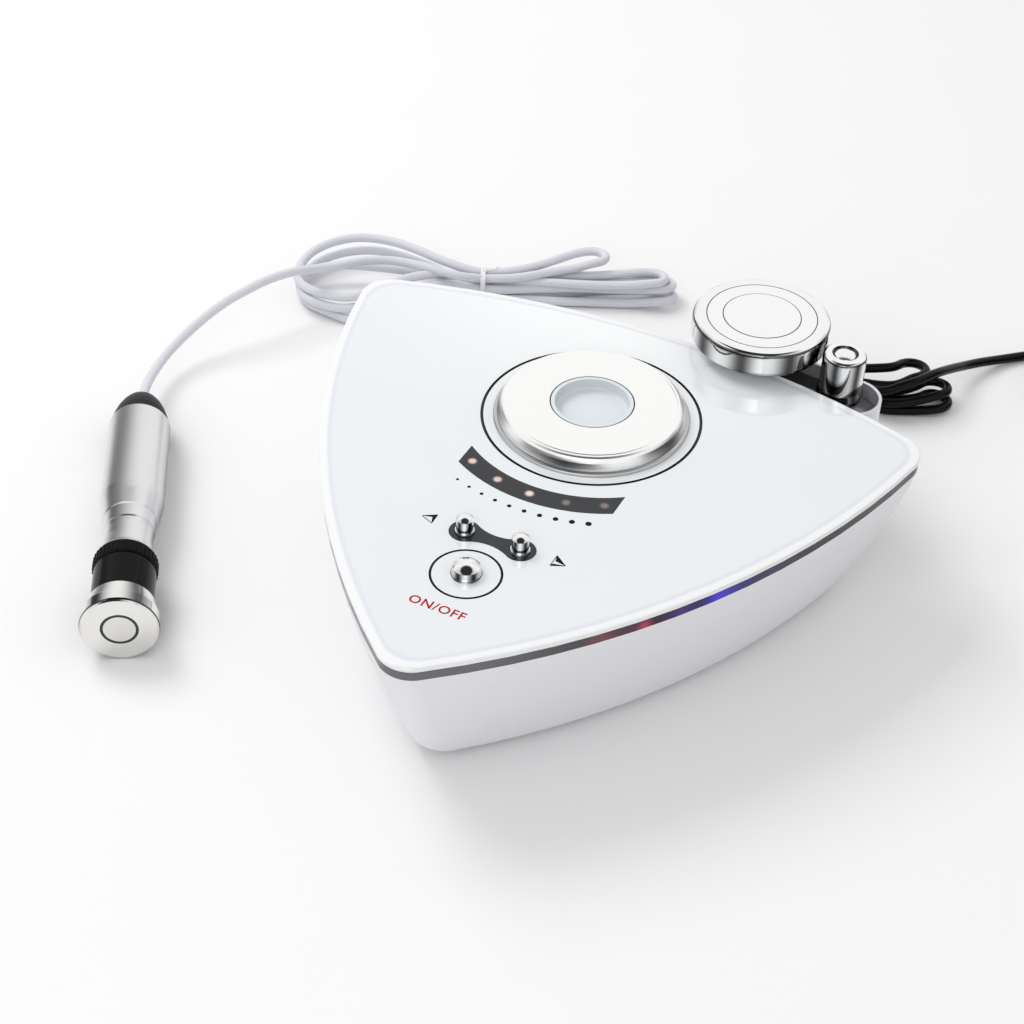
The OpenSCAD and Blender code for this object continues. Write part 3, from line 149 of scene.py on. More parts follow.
# The black cord: out of the jack, three folds to each side of its tie, out to the coil
POWER_ROUTE = [
    (45, 84.91, 20), (45, 87.4, 19.9), (45.2, 91.5, 19.2), (45.4, 97, 18), (45.8, 104.5, 16.6),
    (46, 113, 15.8), (46.2, 122, 15.6), (47.4, 131, 15.2), (51.3, 141.7, 12.6), (72.9, 154.8, 13.4),
    (75.7, 162, 12), (79.6, 164, 12.1), (83.8, 163, 12.4), (86.3, 159.6, 12.8), (86.1, 155.3, 13.1),
    (83.2, 152.1, 13.2), (76.8, 145.5, 11), (51.3, 141.7, 8.9), (40.8, 140.7, 9), (31.8, 141.4, 9),
    (24.4, 137.2, 9), (23.5, 129, 9), (30.1, 123.7, 8.8), (38.6, 125.6, 8), (45.1, 131.6, 7),
    (52.7, 138.3, 5.3), (70.3, 138.4, 5.7), (77.3, 138.1, 6.6), (85.6, 143.6, 7), (94.7, 151.7, 8.2),
    (97.1, 155.3, 8.1), (96.6, 159.5, 7.7), (93.5, 162.5, 7.1), (89.2, 162.8, 6.7), (85.8, 160.3, 6.6),
    (85.2, 157.1, 7.2), (77.8, 148.6, 6.5), (51.3, 141.7, 5.3), (39.8, 140.7, 5.3), (29.8, 141.2, 5.4),
    (21.9, 136.5, 5.5), (21.2, 128, 5.5), (28.1, 122.2, 5.3), (36.9, 124.4, 4.6), (44.4, 131.1, 3.4),
    (52.7, 138.3, 2.1), (67.1, 138.9, 2.1), (75.1, 139.1, 2.1), (84.4, 143.1, 2.1), (96.2, 149.3, 3.1),
    (98.7, 152.8, 3), (98.4, 157.1, 2.8), (95.3, 160.2, 2.4), (91, 160.6, 2.2), (87.5, 158.2, 2.1),
    (87.2, 156.3, 2.1), (78.5, 148.9, 2.1), (51.3, 141.7, 2.1), (38.7, 140.6, 2.1), (27.7, 140.9, 2.1),
    (19, 135.9, 2.1), (17.6, 126.4, 2.1), (24.8, 119.7, 3), (36.2, 120.9, 6.2), (44.5, 128.3, 10.2),
    (52.7, 138.3, 12), (74.5, 135.4, 13.6), (81, 139.4, 16.2), (86.6, 145.2, 17.2), (90.7, 154.2, 16.4),
    (94.8, 167.8, 11.9), (98.3, 179.2, 7.6), (103.1, 188.4, 5.2), (109.7, 198.1, 3), (117.4, 206.6, 2.1),
    (124.6, 212.8, 2.1), (132.6, 217.8, 2.1), (141, 220.9, 2.1),
]

# The coil: turns as (radius, height); in degrees, where the cord comes in, the step between points and the
# places on the last turn past its start
COIL_AT = (154.5, 199.8)
COIL_OUTER = 22.2
COIL_INNER = 18.2
COIL_TURNS = [(COIL_OUTER, 2.1), (COIL_INNER, 2.1), (COIL_INNER, 6.1), (COIL_OUTER, 6.1),
              (COIL_INNER, 10.1), (COIL_OUTER, 10.1)]
COIL_START = 99.0
COIL_STEP = 20
COIL_PAST = (0, 20, 38)

# From the coil to the plug
TAIL_ROUTE = [
    (172.5, 212.5, 10.1), (178.5, 205.5, 10.2), (182.5, 198.5, 10.6), (186.3, 192, 12), (189.3, 188.9, 13.2),
    (191.7, 188, 13.4), (194, 188, 13.4),
]

# The power cord's share of the easing, and its gap over the floor
POWER_EASING = 0.6
FLOOR_GAP = 0.1

# Ties, as (place, direction across the strands, half width, top), and the white one's twisted end
LEAD_TIE = ((-113.5, 135.6), (-0.438, 0.899), 6.7, 13.3)
POWER_TIE = ((52.0, 140.0), (-0.38, 0.925), 3.9, 14.8)
TIE_THICKNESS = 0.4
TIE_TWIST = [(-113.5, 135.6, 13.1), (-111.6, 136.9, 13.5), (-109.4, 137.7, 14.1), (-107.6, 138.9, 15.2)]
TWIST_RADIUS = 0.6
TWIST_TURN = 0.9

# ---- Stage: directions, and places in metres ----

CAMERA_AT = (0.2249, -0.5425, 0.5092)
CAMERA_RIGHT = (0.893363, 0.448365, 0.029518)
CAMERA_UP = (-0.308903, 0.565123, 0.764992)
FRONT = (0.4258, -0.9048, 0.0)
LIGHT_AIM = (0.0, 0.0, 0.03)
KEY_AT = (-1.15, 0.25, 1.5)
KEY_SIZE = (0.9, 0.9)
FILL_AT = (0.2, -1.1, 0.8)
FILL_SIZE = (0.8, 0.6)
FLOOR_HALF = 4.0

# Dark flags of the studio, as (place, darkness): place is azimuth from -180 to 180 degrees as 0 to 1,
# or the height of the direction from 0 at the horizon to 1 overhead
FLAG_AZIMUTHS = [(0.0, 0.0), (0.08, 0.0), (0.10, 1.0), (0.33, 1.0), (0.36, 0.0), (0.475, 0.0), (0.50, 1.0),
                 (0.62, 1.0), (0.65, 0.0), (0.93, 0.0), (0.95, 0.8), (1.0, 0.8)]
FLAG_HEIGHTS = [(0.0, 0.5), (0.04, 1.0), (0.32, 1.0), (0.48, 0.0), (1.0, 0.0)]
FLAG_OVERHEAD = [(0.0, 0.0), (0.84, 0.0), (0.91, 1.0), (1.0, 1.0)]
DOME_HEIGHTS = [(0.0, 0.34), (0.34, 0.92), (1.0, 1.0)]


# ---- Settings ----

class CordSettings(bpy.types.PropertyGroup):
    lead_diameter: FloatProperty(
        name="Lead diameter", description="Thickness of the handpiece's grey lead",
        default=0.004, min=0.002, max=0.008, unit="LENGTH")
    power_diameter: FloatProperty(
        name="Power cord diameter", description="Thickness of the black power cord",
        default=0.0040, min=0.002, max=0.008, unit="LENGTH")
    sides: IntProperty(
        name="Sides", description="Number of sides of each cord's round section",
        default=14, min=8, max=32)
    easing: FloatProperty(
        name="Easing", description="Length of cord over which a fold is rounded off",
        default=0.003, min=0.0, max=0.02, unit="LENGTH")
    tie_width: FloatProperty(
        name="Tie width", description="Width of the flat loops that hold the folds",
        default=0.0022, min=0.001, max=0.006, unit="LENGTH")
    lead_colour: FloatVectorProperty(
        name="Lead colour", description="Colour of the handpiece's lead",
        default=(0.68, 0.685, 0.735), size=3, min=0.0, max=1.0, subtype="COLOR")


class MarkSettings(bpy.types.PropertyGroup):
    film: FloatProperty(
        name="Ink film", description="Thickness of the printed ink on the cover",
        default=0.00003, min=0.00001, max=0.0002, unit="LENGTH")
    ring_radius: FloatProperty(
        name="Ring radius", description="Radius of the thin ring printed round the power key",
        default=0.01205, min=0.008, max=0.016, unit="LENGTH")
    ring_width: FloatProperty(
        name="Ring width", description="Line width of the ring round the power key",
        default=0.00085, min=0.0002, max=0.0015, unit="LENGTH")
    letter_height: FloatProperty(
        name="Letter height", description="Height of the capitals under the power key",
        default=0.0037, min=0.002, max=0.008, unit="LENGTH")
    word_width: FloatProperty(
        name="Word width", description="Width of the word under the power key",
        default=0.0206, min=0.01, max=0.04, unit="LENGTH")
    ink_red: FloatVectorProperty(
        name="Red ink", description="Colour of the capitals under the power key",
        default=(0.42, 0.006, 0.016), size=3, min=0.0, max=1.0, subtype="COLOR")


class FinishSettings(bpy.types.PropertyGroup):
    housing_colour: FloatVectorProperty(
        name="Housing colour", description="Colour of the lower housing's satin plastic",
        default=(0.80, 0.80, 0.83), size=3, min=0.0, max=1.0, subtype="COLOR")
    cover_colour: FloatVectorProperty(
        name="Cover colour", description="Colour of the cover's glossy plastic",
        default=(0.745, 0.775, 0.79), size=3, min=0.0, max=1.0, subtype="COLOR")
    glow: FloatProperty(
        name="Glow", description="Strength of the lamps that shine through the band",
        default=1.0, min=0.0, max=10.0)


class StageSettings(bpy.types.PropertyGroup):
    key_power: FloatProperty(
        name="Key light", description="Power of the large soft light above the left side",
        default=14.8, min=0.0, max=200.0, unit="POWER")
    fill_power: FloatProperty(
        name="Fill light", description="Power of the soft light in front",
        default=2.5, min=0.0, max=200.0, unit="POWER")
    sky: FloatProperty(
        name="Surround", description="Brightness of the white surround",
        default=0.775, min=0.0, max=3.0)
    focal: FloatProperty(
        name="Focal length", description="Focal length of the camera, on a 36 mm sensor",
        default=70.3125, min=20.0, max=200.0)


# ---- Curves and meshes ----

def spline(points, step):
    """A centripetal curve through points, as an evenly spaced list with about this step."""
    samples = 12
    p = np.array(points, float)
    p = np.vstack([2 * p[0] - p[1], p, 2 * p[-1] - p[-2]])
    out = []
    for i in range(1, len(p) - 2):
        a, b, c, d = p[i - 1:i + 3]
        t1, t2, t3 = (math.sqrt(np.linalg.norm(v)) for v in (b - a, c - b, d - c))
        m1 = t2 * ((c - b) / t2 - (c - a) / (t1 + t2) + (b - a) / t1)
        m2 = t2 * ((c - b) / t2 - (d - b) / (t2 + t3) + (d - c) / t3)
        for t in np.linspace(0.0, 1.0, samples, endpoint=False):
            out.append((2 * t**3 - 3 * t**2 + 1) * b + (t**3 - 2 * t**2 + t) * m1
                       + (3 * t**2 - 2 * t**3) * c + (t**3 - t**2) * m2)
    out.append(p[-2])
    return even(np.array(out), step)


def even(p, step):
    """The same line with evenly spaced points."""
    s = np.r_[0.0, np.cumsum(np.linalg.norm(np.diff(p, axis=0), axis=1))]
    at = np.linspace(0.0, s[-1], max(3, int(round(s[-1] / step)) + 1))
    return np.column_stack([np.interp(at, s, p[:, k]) for k in range(3)])


def ease(p, step, reach):
    """Rounds off the folds of a line, as a stiff jacket does, and keeps its ends."""
    keep = 4
    passes = max(1, int(round((reach / step) ** 2)))
    q = p.copy()
    for _ in range(passes):
        q[keep:-keep] += 0.25 * (q[keep - 1:-keep - 1] - 2 * q[keep:-keep] + q[keep + 1:len(q) - keep + 1])
    return q


def new_mesh(name, verts, faces, smooth=True):
    mesh = bpy.data.meshes.new(name)
    mesh.from_pydata([tuple(float(c) for c in v) for v in verts], [], faces)
    mesh.validate()
    mesh.update()
    if smooth:
        mesh.polygons.foreach_set("use_smooth", [True] * len(mesh.polygons))
    obj = bpy.data.objects.new(name, mesh)
    bpy.context.scene.collection.objects.link(obj)
    return obj


def tube(name, path, radius, sides):
    """A round tube with a ring at every point of the path and closed ends."""
    d = np.gradient(path, axis=0)
    d /= np.linalg.norm(d, axis=1)[:, None]
    side = np.cross(d[0], (0.0, 0.0, 1.0))
    side /= np.linalg.norm(side)
    angles = np.linspace(0.0, 2 * math.pi, sides, endpoint=False)
    verts = []
    for p, t in zip(path, d):
        side = side - t * side.dot(t)
        side /= np.linalg.norm(side)
        up = np.cross(side, t)
        verts.extend(p + radius * (math.cos(a) * side + math.sin(a) * up) for a in angles)
    faces = []
    for i in range(len(path) - 1):
        for k in range(sides):
            a, b = i * sides + k, i * sides + (k + 1) % sides
            faces.append((a, a + sides, b + sides, b))
    last = (len(path) - 1) * sides
    faces.append(tuple(range(sides)))
    faces.append(tuple(last + k for k in reversed(range(sides))))
    return new_mesh(name, verts, faces)


def plate(name, outlines, z0, z1):
    """Flat printed areas: each outline, in millimetres, becomes a thin slab between two heights."""
    verts, faces = [], []
    for pts in outlines:
        n, first = len(pts), len(verts)
        verts += [(x * MM, y * MM, z0) for x, y in pts] + [(x * MM, y * MM, z1) for x, y in pts]
        faces.append(tuple(first + n + k for k in range(n)))
        faces.append(tuple(first + k for k in reversed(range(n))))
        faces += [(first + k, first + (k + 1) % n, first + n + (k + 1) % n, first + n + k) for k in range(n)]
    return new_mesh(name, verts, faces, smooth=False)


def disc(x, y, r, n=32):
    """Corners of a round mark."""
    return [(x + r * math.cos(2 * math.pi * k / n), y + r * math.sin(2 * math.pi * k / n)) for k in range(n)]


def ring_plate(name, at, r0, r1, z0, z1, n=96):
    """A flat printed ring, in metres."""
    verts, faces = [], []
    for k in range(n):
        a = 2 * math.pi * k / n
        c, s = math.cos(a), math.sin(a)
        verts += [(at[0] + r * c, at[1] + r * s, z) for r, z in ((r0, z0), (r1, z0), (r1, z1), (r0, z1))]
        b, e = 4 * k, 4 * ((k + 1) % n)
        faces += [(b + j, b + (j + 1) % 4, e + (j + 1) % 4, e + j) for j in range(4)]
    return new_mesh(name, verts, faces, smooth=False)


# ---- Nodes, and the groups that finishes share: these give masks, values and normals ----

AXIS_INPUTS = {"Point": (0.0, 0.0, 0.0), "Axis": (0.0, 0.0, 1.0)}


def add(tree, kind, values=(), **properties):
    """A new shader node with these properties; each of its inputs is fed by a socket or set to a value."""
    node = tree.nodes.new("ShaderNode" + kind)
    for key, value in properties.items():
        setattr(node, key, value)
    for key, value in dict(values).items():
        if isinstance(value, bpy.types.NodeSocket):
            tree.links.new(value, node.inputs[key])
        else:
            node.inputs[key].default_value = value
    return node


def math_node(tree, kind, *values, clamp=False):
    """The result of a math node whose inputs are sockets or numbers."""
    return add(tree, "Math", enumerate(values), operation=kind, use_clamp=clamp).outputs[0]


def vector_node(tree, kind, *values):
    """The result of a vector math node whose inputs are sockets or vectors."""
    node = add(tree, "VectorMath", enumerate(values), operation=kind)
    return node.outputs["Value" if kind in ("DOT_PRODUCT", "LENGTH", "DISTANCE") else "Vector"]


def scaled(tree, vector, factor):
    return add(tree, "VectorMath", {0: vector, "Scale": factor}, operation="SCALE").outputs["Vector"]


def mix(tree, mask, a, b):
    """A colour from a to b as the mask goes from 0 to 1; a and b are colours or sockets."""
    a, b = (v if isinstance(v, bpy.types.NodeSocket) else (*v, 1.0) for v in (a, b))
    return add(tree, "Mix", {0: mask, 6: a, 7: b}, data_type="RGBA").outputs[2]


def group(name, inputs, outputs):
    """A new shader node group. Inputs are names with a default number or vector, outputs are names."""
    tree = bpy.data.node_groups.new(name, "ShaderNodeTree")
    for label, default in inputs.items():
        kind = "NodeSocketFloat" if isinstance(default, float) else "NodeSocketVector"
        tree.interface.new_socket(name=label, in_out="INPUT", socket_type=kind).default_value = default
    for label in outputs:
        kind = "NodeSocketVector" if label == "Normal" else "NodeSocketFloat"
        tree.interface.new_socket(name=label, in_out="OUTPUT", socket_type=kind)
    return tree, tree.nodes.new("NodeGroupInput").outputs, tree.nodes.new("NodeGroupOutput").inputs


def skin_group():
    """Fine moulded skin: a broad faint mask, and a small bump from noise in the object's own space."""
    g, given, result = group("Moulded skin", {"Scale": 900.0, "Bump": 0.05}, ("Mask", "Normal"))
    at = add(g, "TexCoord").outputs["Object"]
    fine = add(g, "TexNoise", {"Vector": at, "Scale": given["Scale"], "Detail": 3.0, "Roughness": 0.55})
    broad = add(g, "TexNoise", {"Vector": at, "Scale": 26.0, "Detail": 2.0})
    bump = add(g, "Bump", {"Strength": given["Bump"], "Distance": 0.00004, "Height": fine.outputs["Fac"]})
    g.links.new(broad.outputs["Fac"], result["Mask"])
    g.links.new(bump.outputs["Normal"], result["Normal"])


def axis_group():
    """Distance from an axis and place along it, in metres, from the object's own coordinates."""
    g, given, result = group("About axis", AXIS_INPUTS, ("Radius", "Along"))
    off = vector_node(g, "SUBTRACT", add(g, "TexCoord").outputs["Object"], given["Point"])
    cross = vector_node(g, "CROSS_PRODUCT", off, given["Axis"])
    g.links.new(vector_node(g, "LENGTH", cross), result["Radius"])
    g.links.new(vector_node(g, "DOT_PRODUCT", off, given["Axis"]), result["Along"])


def turned_group():
    """Turning marks: fine rings about an axis, as a mask and a bump."""
    g, given, result = group("Turned", {**AXIS_INPUTS, "Pitch": 9000.0, "Bump": 0.1}, ("Mask", "Normal"))
    about = add(g, "Group", {"Point": given["Point"], "Axis": given["Axis"]},
                node_tree=bpy.data.node_groups["About axis"])
    at = add(g, "CombineXYZ", {"X": about.outputs["Radius"], "Y": about.outputs["Along"]})
    rings = add(g, "TexNoise", {"Vector": at.outputs["Vector"], "Scale": given["Pitch"], "Detail": 4.0,
                                "Roughness": 0.7})
    bump = add(g, "Bump", {"Strength": given["Bump"], "Distance": 0.00003, "Height": rings.outputs["Fac"]})
    g.links.new(rings.outputs["Fac"], result["Mask"])
    g.links.new(bump.outputs["Normal"], result["Normal"])


def spot_group():
    """A soft round mask: strongest at a point, falling to nothing at a reach from it."""
    g, given, result = group("Soft spot", {"Point": (0.0, 0.0, 0.0), "Reach": 0.01, "Gain": 1.0}, ("Mask",))
    away = vector_node(g, "DISTANCE", add(g, "TexCoord").outputs["Object"], given["Point"])
    near = math_node(g, "SUBTRACT", 1.0, math_node(g, "DIVIDE", away, given["Reach"]), clamp=True)
    soft = math_node(g, "POWER", near, 1.6)
    g.links.new(math_node(g, "MULTIPLY", soft, given["Gain"], clamp=True), result["Mask"])


def streak_group():
    """Painted reflections on a turned piece, as streaks: dark lobes round its flanks, none on its flat ends,
    and a mask of its rounded edges.
    """
    g, given, result = group(
        "Painted reflection streaks",
        {**AXIS_INPUTS, "Toward": (1.0, 0.0, 0.0), "Lobes": 3.0, "Contrast": 1.0}, ("Mask", "Edge"))
    at = add(g, "TexCoord").outputs
    off = vector_node(g, "SUBTRACT", at["Object"], given["Point"])
    along = vector_node(g, "PROJECT", off, given["Axis"])
    out = vector_node(g, "NORMALIZE", vector_node(g, "SUBTRACT", off, along))
    # Painted reflection: dark lobes by the direction round the axis, not by light
    facing = math_node(g, "MULTIPLY", vector_node(g, "DOT_PRODUCT", out, given["Toward"]), 0.9999)
    turn = math_node(g, "MULTIPLY", math_node(g, "ARCCOSINE", facing), given["Lobes"])
    wave = math_node(g, "SUBTRACT", 1.0, math_node(g, "COSINE", turn))
    dark = math_node(g, "POWER", math_node(g, "MULTIPLY", wave, 0.5), given["Contrast"])
    steep = math_node(g, "ABSOLUTE", vector_node(g, "DOT_PRODUCT", at["Normal"], given["Axis"]))
    flank = math_node(g, "SUBTRACT", 1.0, steep, clamp=True)
    flank = math_node(g, "MULTIPLY", flank, 2.0, clamp=True)
    g.links.new(math_node(g, "MULTIPLY", dark, flank), result["Mask"])
    g.links.new(math_node(g, "COMPARE", steep, 0.55, 0.22), result["Edge"])


def line_group():
    """Distance in plan from a straight line between two points, in metres."""
    g, given, result = group("About line", {"Start": (0.0, 0.0, 0.0), "Run": (1.0, 0.0, 0.0)}, ("Distance",))
    flat = vector_node(g, "MULTIPLY", add(g, "TexCoord").outputs["Object"], (1.0, 1.0, 0.0))
    off = vector_node(g, "SUBTRACT", flat, given["Start"])
    part = math_node(g, "DIVIDE", vector_node(g, "DOT_PRODUCT", off, given["Run"]),
                     vector_node(g, "DOT_PRODUCT", given["Run"], given["Run"]), clamp=True)
    g.links.new(vector_node(g, "DISTANCE", off, scaled(g, given["Run"], part)), result["Distance"])


def make_groups():
    for build in (skin_group, axis_group, turned_group, spot_group, streak_group, line_group):
        build()


# ---- Finishes ----

class Finish:
    """A material in the making: a Principled surface whose inputs are set or fed by name."""

    def __init__(self, name, **values):
        self.mat = bpy.data.materials.new(name)
        self.mat.use_nodes = True
        self.tree = self.mat.node_tree
        self.tree.nodes.clear()
        self.surface = add(self.tree, "BsdfPrincipled")
        add(self.tree, "OutputMaterial", {"Surface": self.surface.outputs["BSDF"]})
        for key, value in values.items():
            self.surface.inputs[key.replace("_", " ")].default_value = value

    def feed(self, output, label):
        self.tree.links.new(output, self.surface.inputs[label])

    def effect(self, name, **values):
        """The outputs of a shared group, placed here with its own values."""
        return add(self.tree, "Group", values, node_tree=bpy.data.node_groups[name]).outputs

    def spot(self, point, reach, gain=1.0):
        """A soft round mask about a point, in millimetres."""
        return self.effect("Soft spot", Point=metres(point), Reach=reach * MM, Gain=gain)["Mask"]

    def between(self, mask, low, high):
        """A number from low to high as the mask goes from 0 to 1."""
        return add(self.tree, "MapRange", {"Value": mask, "To Min": low, "To Max": high}).outputs["Result"]

    def step(self, length, low, high):
        """A mask that rises from 0 to 1 as a length goes from low to high, in millimetres."""
        return add(self.tree, "MapRange", {"Value": length, "From Min": low * MM, "From Max": high * MM},
                   interpolation_type="SMOOTHSTEP").outputs["Result"]

    def times(self, a, b):
        return math_node(self.tree, "MULTIPLY", a, b, clamp=True)

    def vary(self, mask, colour, tone, rough, spread):
        """Lets colour and roughness change a little with a mask."""
        light, dark = shade(colour, 1 + tone), shade(colour, 1 - tone)
        self.feed(mix(self.tree, mask, dark, light), "Base Color")
        self.feed(self.between(mask, rough * (1 - spread), rough * (1 + spread)), "Roughness")

    def over(self, mask, colour, rough=None):
        """Lays another colour, and roughness, over what the finish has so far."""
        base, roughness = (self.surface.inputs[label].links[0].from_socket
                           for label in ("Base Color", "Roughness"))
        self.feed(mix(self.tree, mask, base, colour), "Base Color")
        if rough is not None:
            self.feed(self.between(mask, roughness, rough), "Roughness")

    def glow(self, colours, strength):
        """Light from within: the sum of colours, each given as (mask, colour, level)."""
        total = None
        for mask, colour, level in colours:
            tint = scaled(self.tree, mix(self.tree, mask, (0.0, 0.0, 0.0), colour), level)
            total = tint if total is None else vector_node(self.tree, "ADD", total, tint)
        self.feed(total, "Emission Color")
        self.surface.inputs["Emission Strength"].default_value = strength


def metres(point):
    return tuple(c * MM for c in point)


def shade(colour, k):
    return tuple(min(1.0, c * k) for c in colour)


def plastic(name, colour, rough, bump=0.05, scale=900.0, vary=0.03, **values):
    """Moulded plastic: a faint broad change of tone and a fine skin."""
    f = Finish(name, Roughness=rough, **values)
    skin = f.effect("Moulded skin", Scale=scale, Bump=bump)
    f.vary(skin["Mask"], colour, vary, rough, 0.1)
    f.feed(skin["Normal"], "Normal")
    return f


def turned_metal(name, colour, rough, point, axis=(0.0, 0.0, 1.0), pitch=9000.0, bump=0.1, vary=0.05):
    """Metal turned about an axis, which goes through a point in millimetres."""
    f = Finish(name, Metallic=1.0, Roughness=rough)
    rings = f.effect("Turned", Point=metres(point), Axis=axis, Pitch=pitch, Bump=bump)
    f.vary(rings["Mask"], colour, vary, rough, 0.2)
    f.feed(rings["Normal"], "Normal")
    return f


def chrome(name, point, toward, lobes, dark, contrast, axis=(0.0, 0.0, 1.0), colour=(0.90, 0.90, 0.90)):
    """Polished metal with painted reflections: dark streaks on its flanks and a dark line on its rounded
    edges.
    """
    f = turned_metal(name, colour, 0.06, point, axis, bump=0.01, vary=0.02)
    streaks = f.effect("Painted reflection streaks", Point=metres(point), Axis=axis, Toward=toward, Lobes=lobes,
                       Contrast=contrast)
    # Painted reflection: dark streaks on the flanks
    f.over(streaks["Mask"], (dark, dark, dark * 1.03))
    # Painted reflection: a dark line on the rounded edges
    f.over(f.times(streaks["Edge"], 0.8), (0.03, 0.03, 0.03))
    return f


def cover_finish(colour):
    """The cover: whiter at its back with painted light, whiter on its shoulder with a painted highlight, a
    faint line of painted shade there, and a groove round the dock.
    """
    f = plastic("Cover white", colour, 0.12, bump=0.01, scale=260.0, vary=0.012, Coat_Weight=0.8,
                Coat_Roughness=0.03)
    about = f.effect("About axis")
    z = about["Along"]
    # Painted light: whiter towards the back
    f.over(f.spot((-30.0, 110.0, COVER_TOP), 150.0, 1.6), (0.90, 0.915, 0.915))
    # Painted highlight: the rounded shoulder whiter
    f.over(f.step(z, COVER_TOP + 0.02, COVER_TOP - 0.15), (0.84, 0.845, 0.855))
    # Painted shade: a faint darker line where the shoulder leaves the top
    edge = f.times(f.step(z, COVER_TOP - 0.12, COVER_TOP - 0.06), f.step(z, COVER_TOP, COVER_TOP - 0.04))
    f.over(f.times(edge, 0.6), (0.66, 0.66, 0.76))
    near = math_node(f.tree, "COMPARE", about["Radius"], DOCK_LINE * MM, 0.56 * MM)
    groove = f.times(near, f.step(z, COVER_TOP - 1.0, COVER_TOP - 0.8))
    f.over(groove, (0.006, 0.006, 0.007), 0.4)
    f.feed(f.between(groove, 0.8, 0.0), "Coat Weight")
    return f


def dock_finish():
    """Satin metal: painted reflections as darker lobes on its flanks, painted shade making its foot greyer,
    and a dark line at the cup.
    """
    f = turned_metal("Dock metal", (0.98, 0.98, 0.97), 0.30, DOCK_AXIS, pitch=7000.0, bump=0.1, vary=0.02)
    about = f.effect("About axis")
    r, z = about["Radius"], about["Along"]
    lobes = f.effect("Painted reflection streaks", Toward=(0.6972, -0.7169, 0.0), Lobes=5.0, Contrast=1.7)
    flank = f.times(f.step(z, DOCK_TOP - 0.2, DOCK_TOP - 2.2), f.step(z, COVER_TOP + 0.1, COVER_TOP + 0.9))
    # Painted reflection: darker lobes round the flank
    f.over(f.times(flank, f.between(lobes["Mask"], 0.05, 0.95)), (0.13, 0.13, 0.135))
    # Painted shade: the foot greyer where it meets the cover
    f.over(f.step(z, COVER_TOP + 2.0, COVER_TOP + 1.2), (0.55, 0.55, 0.56))
    f.over(f.step(r, DOCK_MOUTH + 0.07, DOCK_MOUTH - 0.07), (0.05, 0.04, 0.035), 0.5)
    return f


def window_finish():
    """The level window, with five lamps behind it: three lit, two dim."""
    f = plastic("Window dark", (0.022, 0.023, 0.028), 0.12, bump=0.0, Coat_Weight=0.15, Coat_Roughness=0.05,
                Specular_IOR_Level=0.3)
    lamps = []
    for k, level in enumerate(LAMP_LEVELS):
        a = math.radians(LAMP_STEP * (k - len(LAMP_LEVELS) // 2))
        x, y = LAMP_CENTRE[0] + LAMP_RADIUS * math.sin(a), LAMP_CENTRE[1] - LAMP_RADIUS * math.cos(a)
        lamps.append((f.spot((x, y, COVER_TOP), LAMP_REACH, 2.6), (0.88, 0.66, 0.58), level))
    f.glow(lamps, 1.0)
    return f


def band_finish(strength):
    """The smoked band: red and blue lamps behind it, with painted shade round them and painted light making
    it paler at the front corner.
    """
    f = plastic("Smoked band", (0.05, 0.05, 0.054), 0.2, bump=0.02, Coat_Weight=0.1, Coat_Roughness=0.08,
                Specular_IOR_Level=0.2)
    # Painted shade: darker round the lamps on the right
    f.over(f.spot((70.0, -75.0, BAND_HEIGHT), 62.0, 1.8), (0.012, 0.011, 0.014))
    # Painted light: paler at the front corner
    f.over(f.spot((-5.0, -140.0, BAND_HEIGHT), 90.0, 2.0), (0.15, 0.148, 0.155))
    f.glow([(f.spot((x, y, BAND_HEIGHT), reach), colour, level) for x, y, reach, colour, level in BAND_LAMPS],
           strength)
    return f


def tray_finish(colour):
    """The tray: white outside and on the rim, darker with painted shade, and glossy, down its inside wall."""
    f = plastic("Tray white", colour, 0.3, bump=0.04, vary=0.012, Coat_Weight=0.3, Coat_Roughness=0.1)
    run = tuple((b - a) * MM for a, b in zip(TRAY_START, TRAY_END))
    away = f.effect("About line", Start=metres(TRAY_START), Run=run)["Distance"]
    # Painted shade: the inside wall darker
    f.over(f.step(away, TRAY_INNER + 0.25, TRAY_INNER + 0.12), (0.42, 0.43, 0.44), 0.1)
    return f


def liner_finish():
    """The tray's dark glossy liner, paler at its right end with painted light."""
    f = plastic("Tray liner", (0.03, 0.033, 0.036), 0.12, bump=0.0, Coat_Weight=0.6, Coat_Roughness=0.04)
    # Painted light: paler at the right end
    f.over(f.spot((*TRAY_START[:2], TRAY_RIM - 3.0), 17.0, 1.5), (0.30, 0.31, 0.32))
    return f


def grip_finish():
    """The handpiece's satin grip, with painted reflections as soft dark streaks along it."""
    f = turned_metal("Grip metal", (0.78, 0.78, 0.79), 0.30, HAND_TAIL, HAND_AXIS, pitch=5000.0, bump=0.08)
    streaks = f.effect("Painted reflection streaks", Point=metres(HAND_TAIL), Axis=HAND_AXIS,
                       Toward=(-0.849, -0.518, 0.1), Lobes=3.0, Contrast=2.4)
    # Painted reflection: soft dark streaks along the grip
    f.over(streaks["Mask"], (0.22, 0.22, 0.225))
    return f


def dress(finish, *nodes):
    """Gives a finish to built nodes."""
    for node in nodes:
        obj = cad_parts[node]
        if not obj.material_slots:
            obj.data.materials.append(finish.mat)
        for item in obj.material_slots:
            item.material = finish.mat


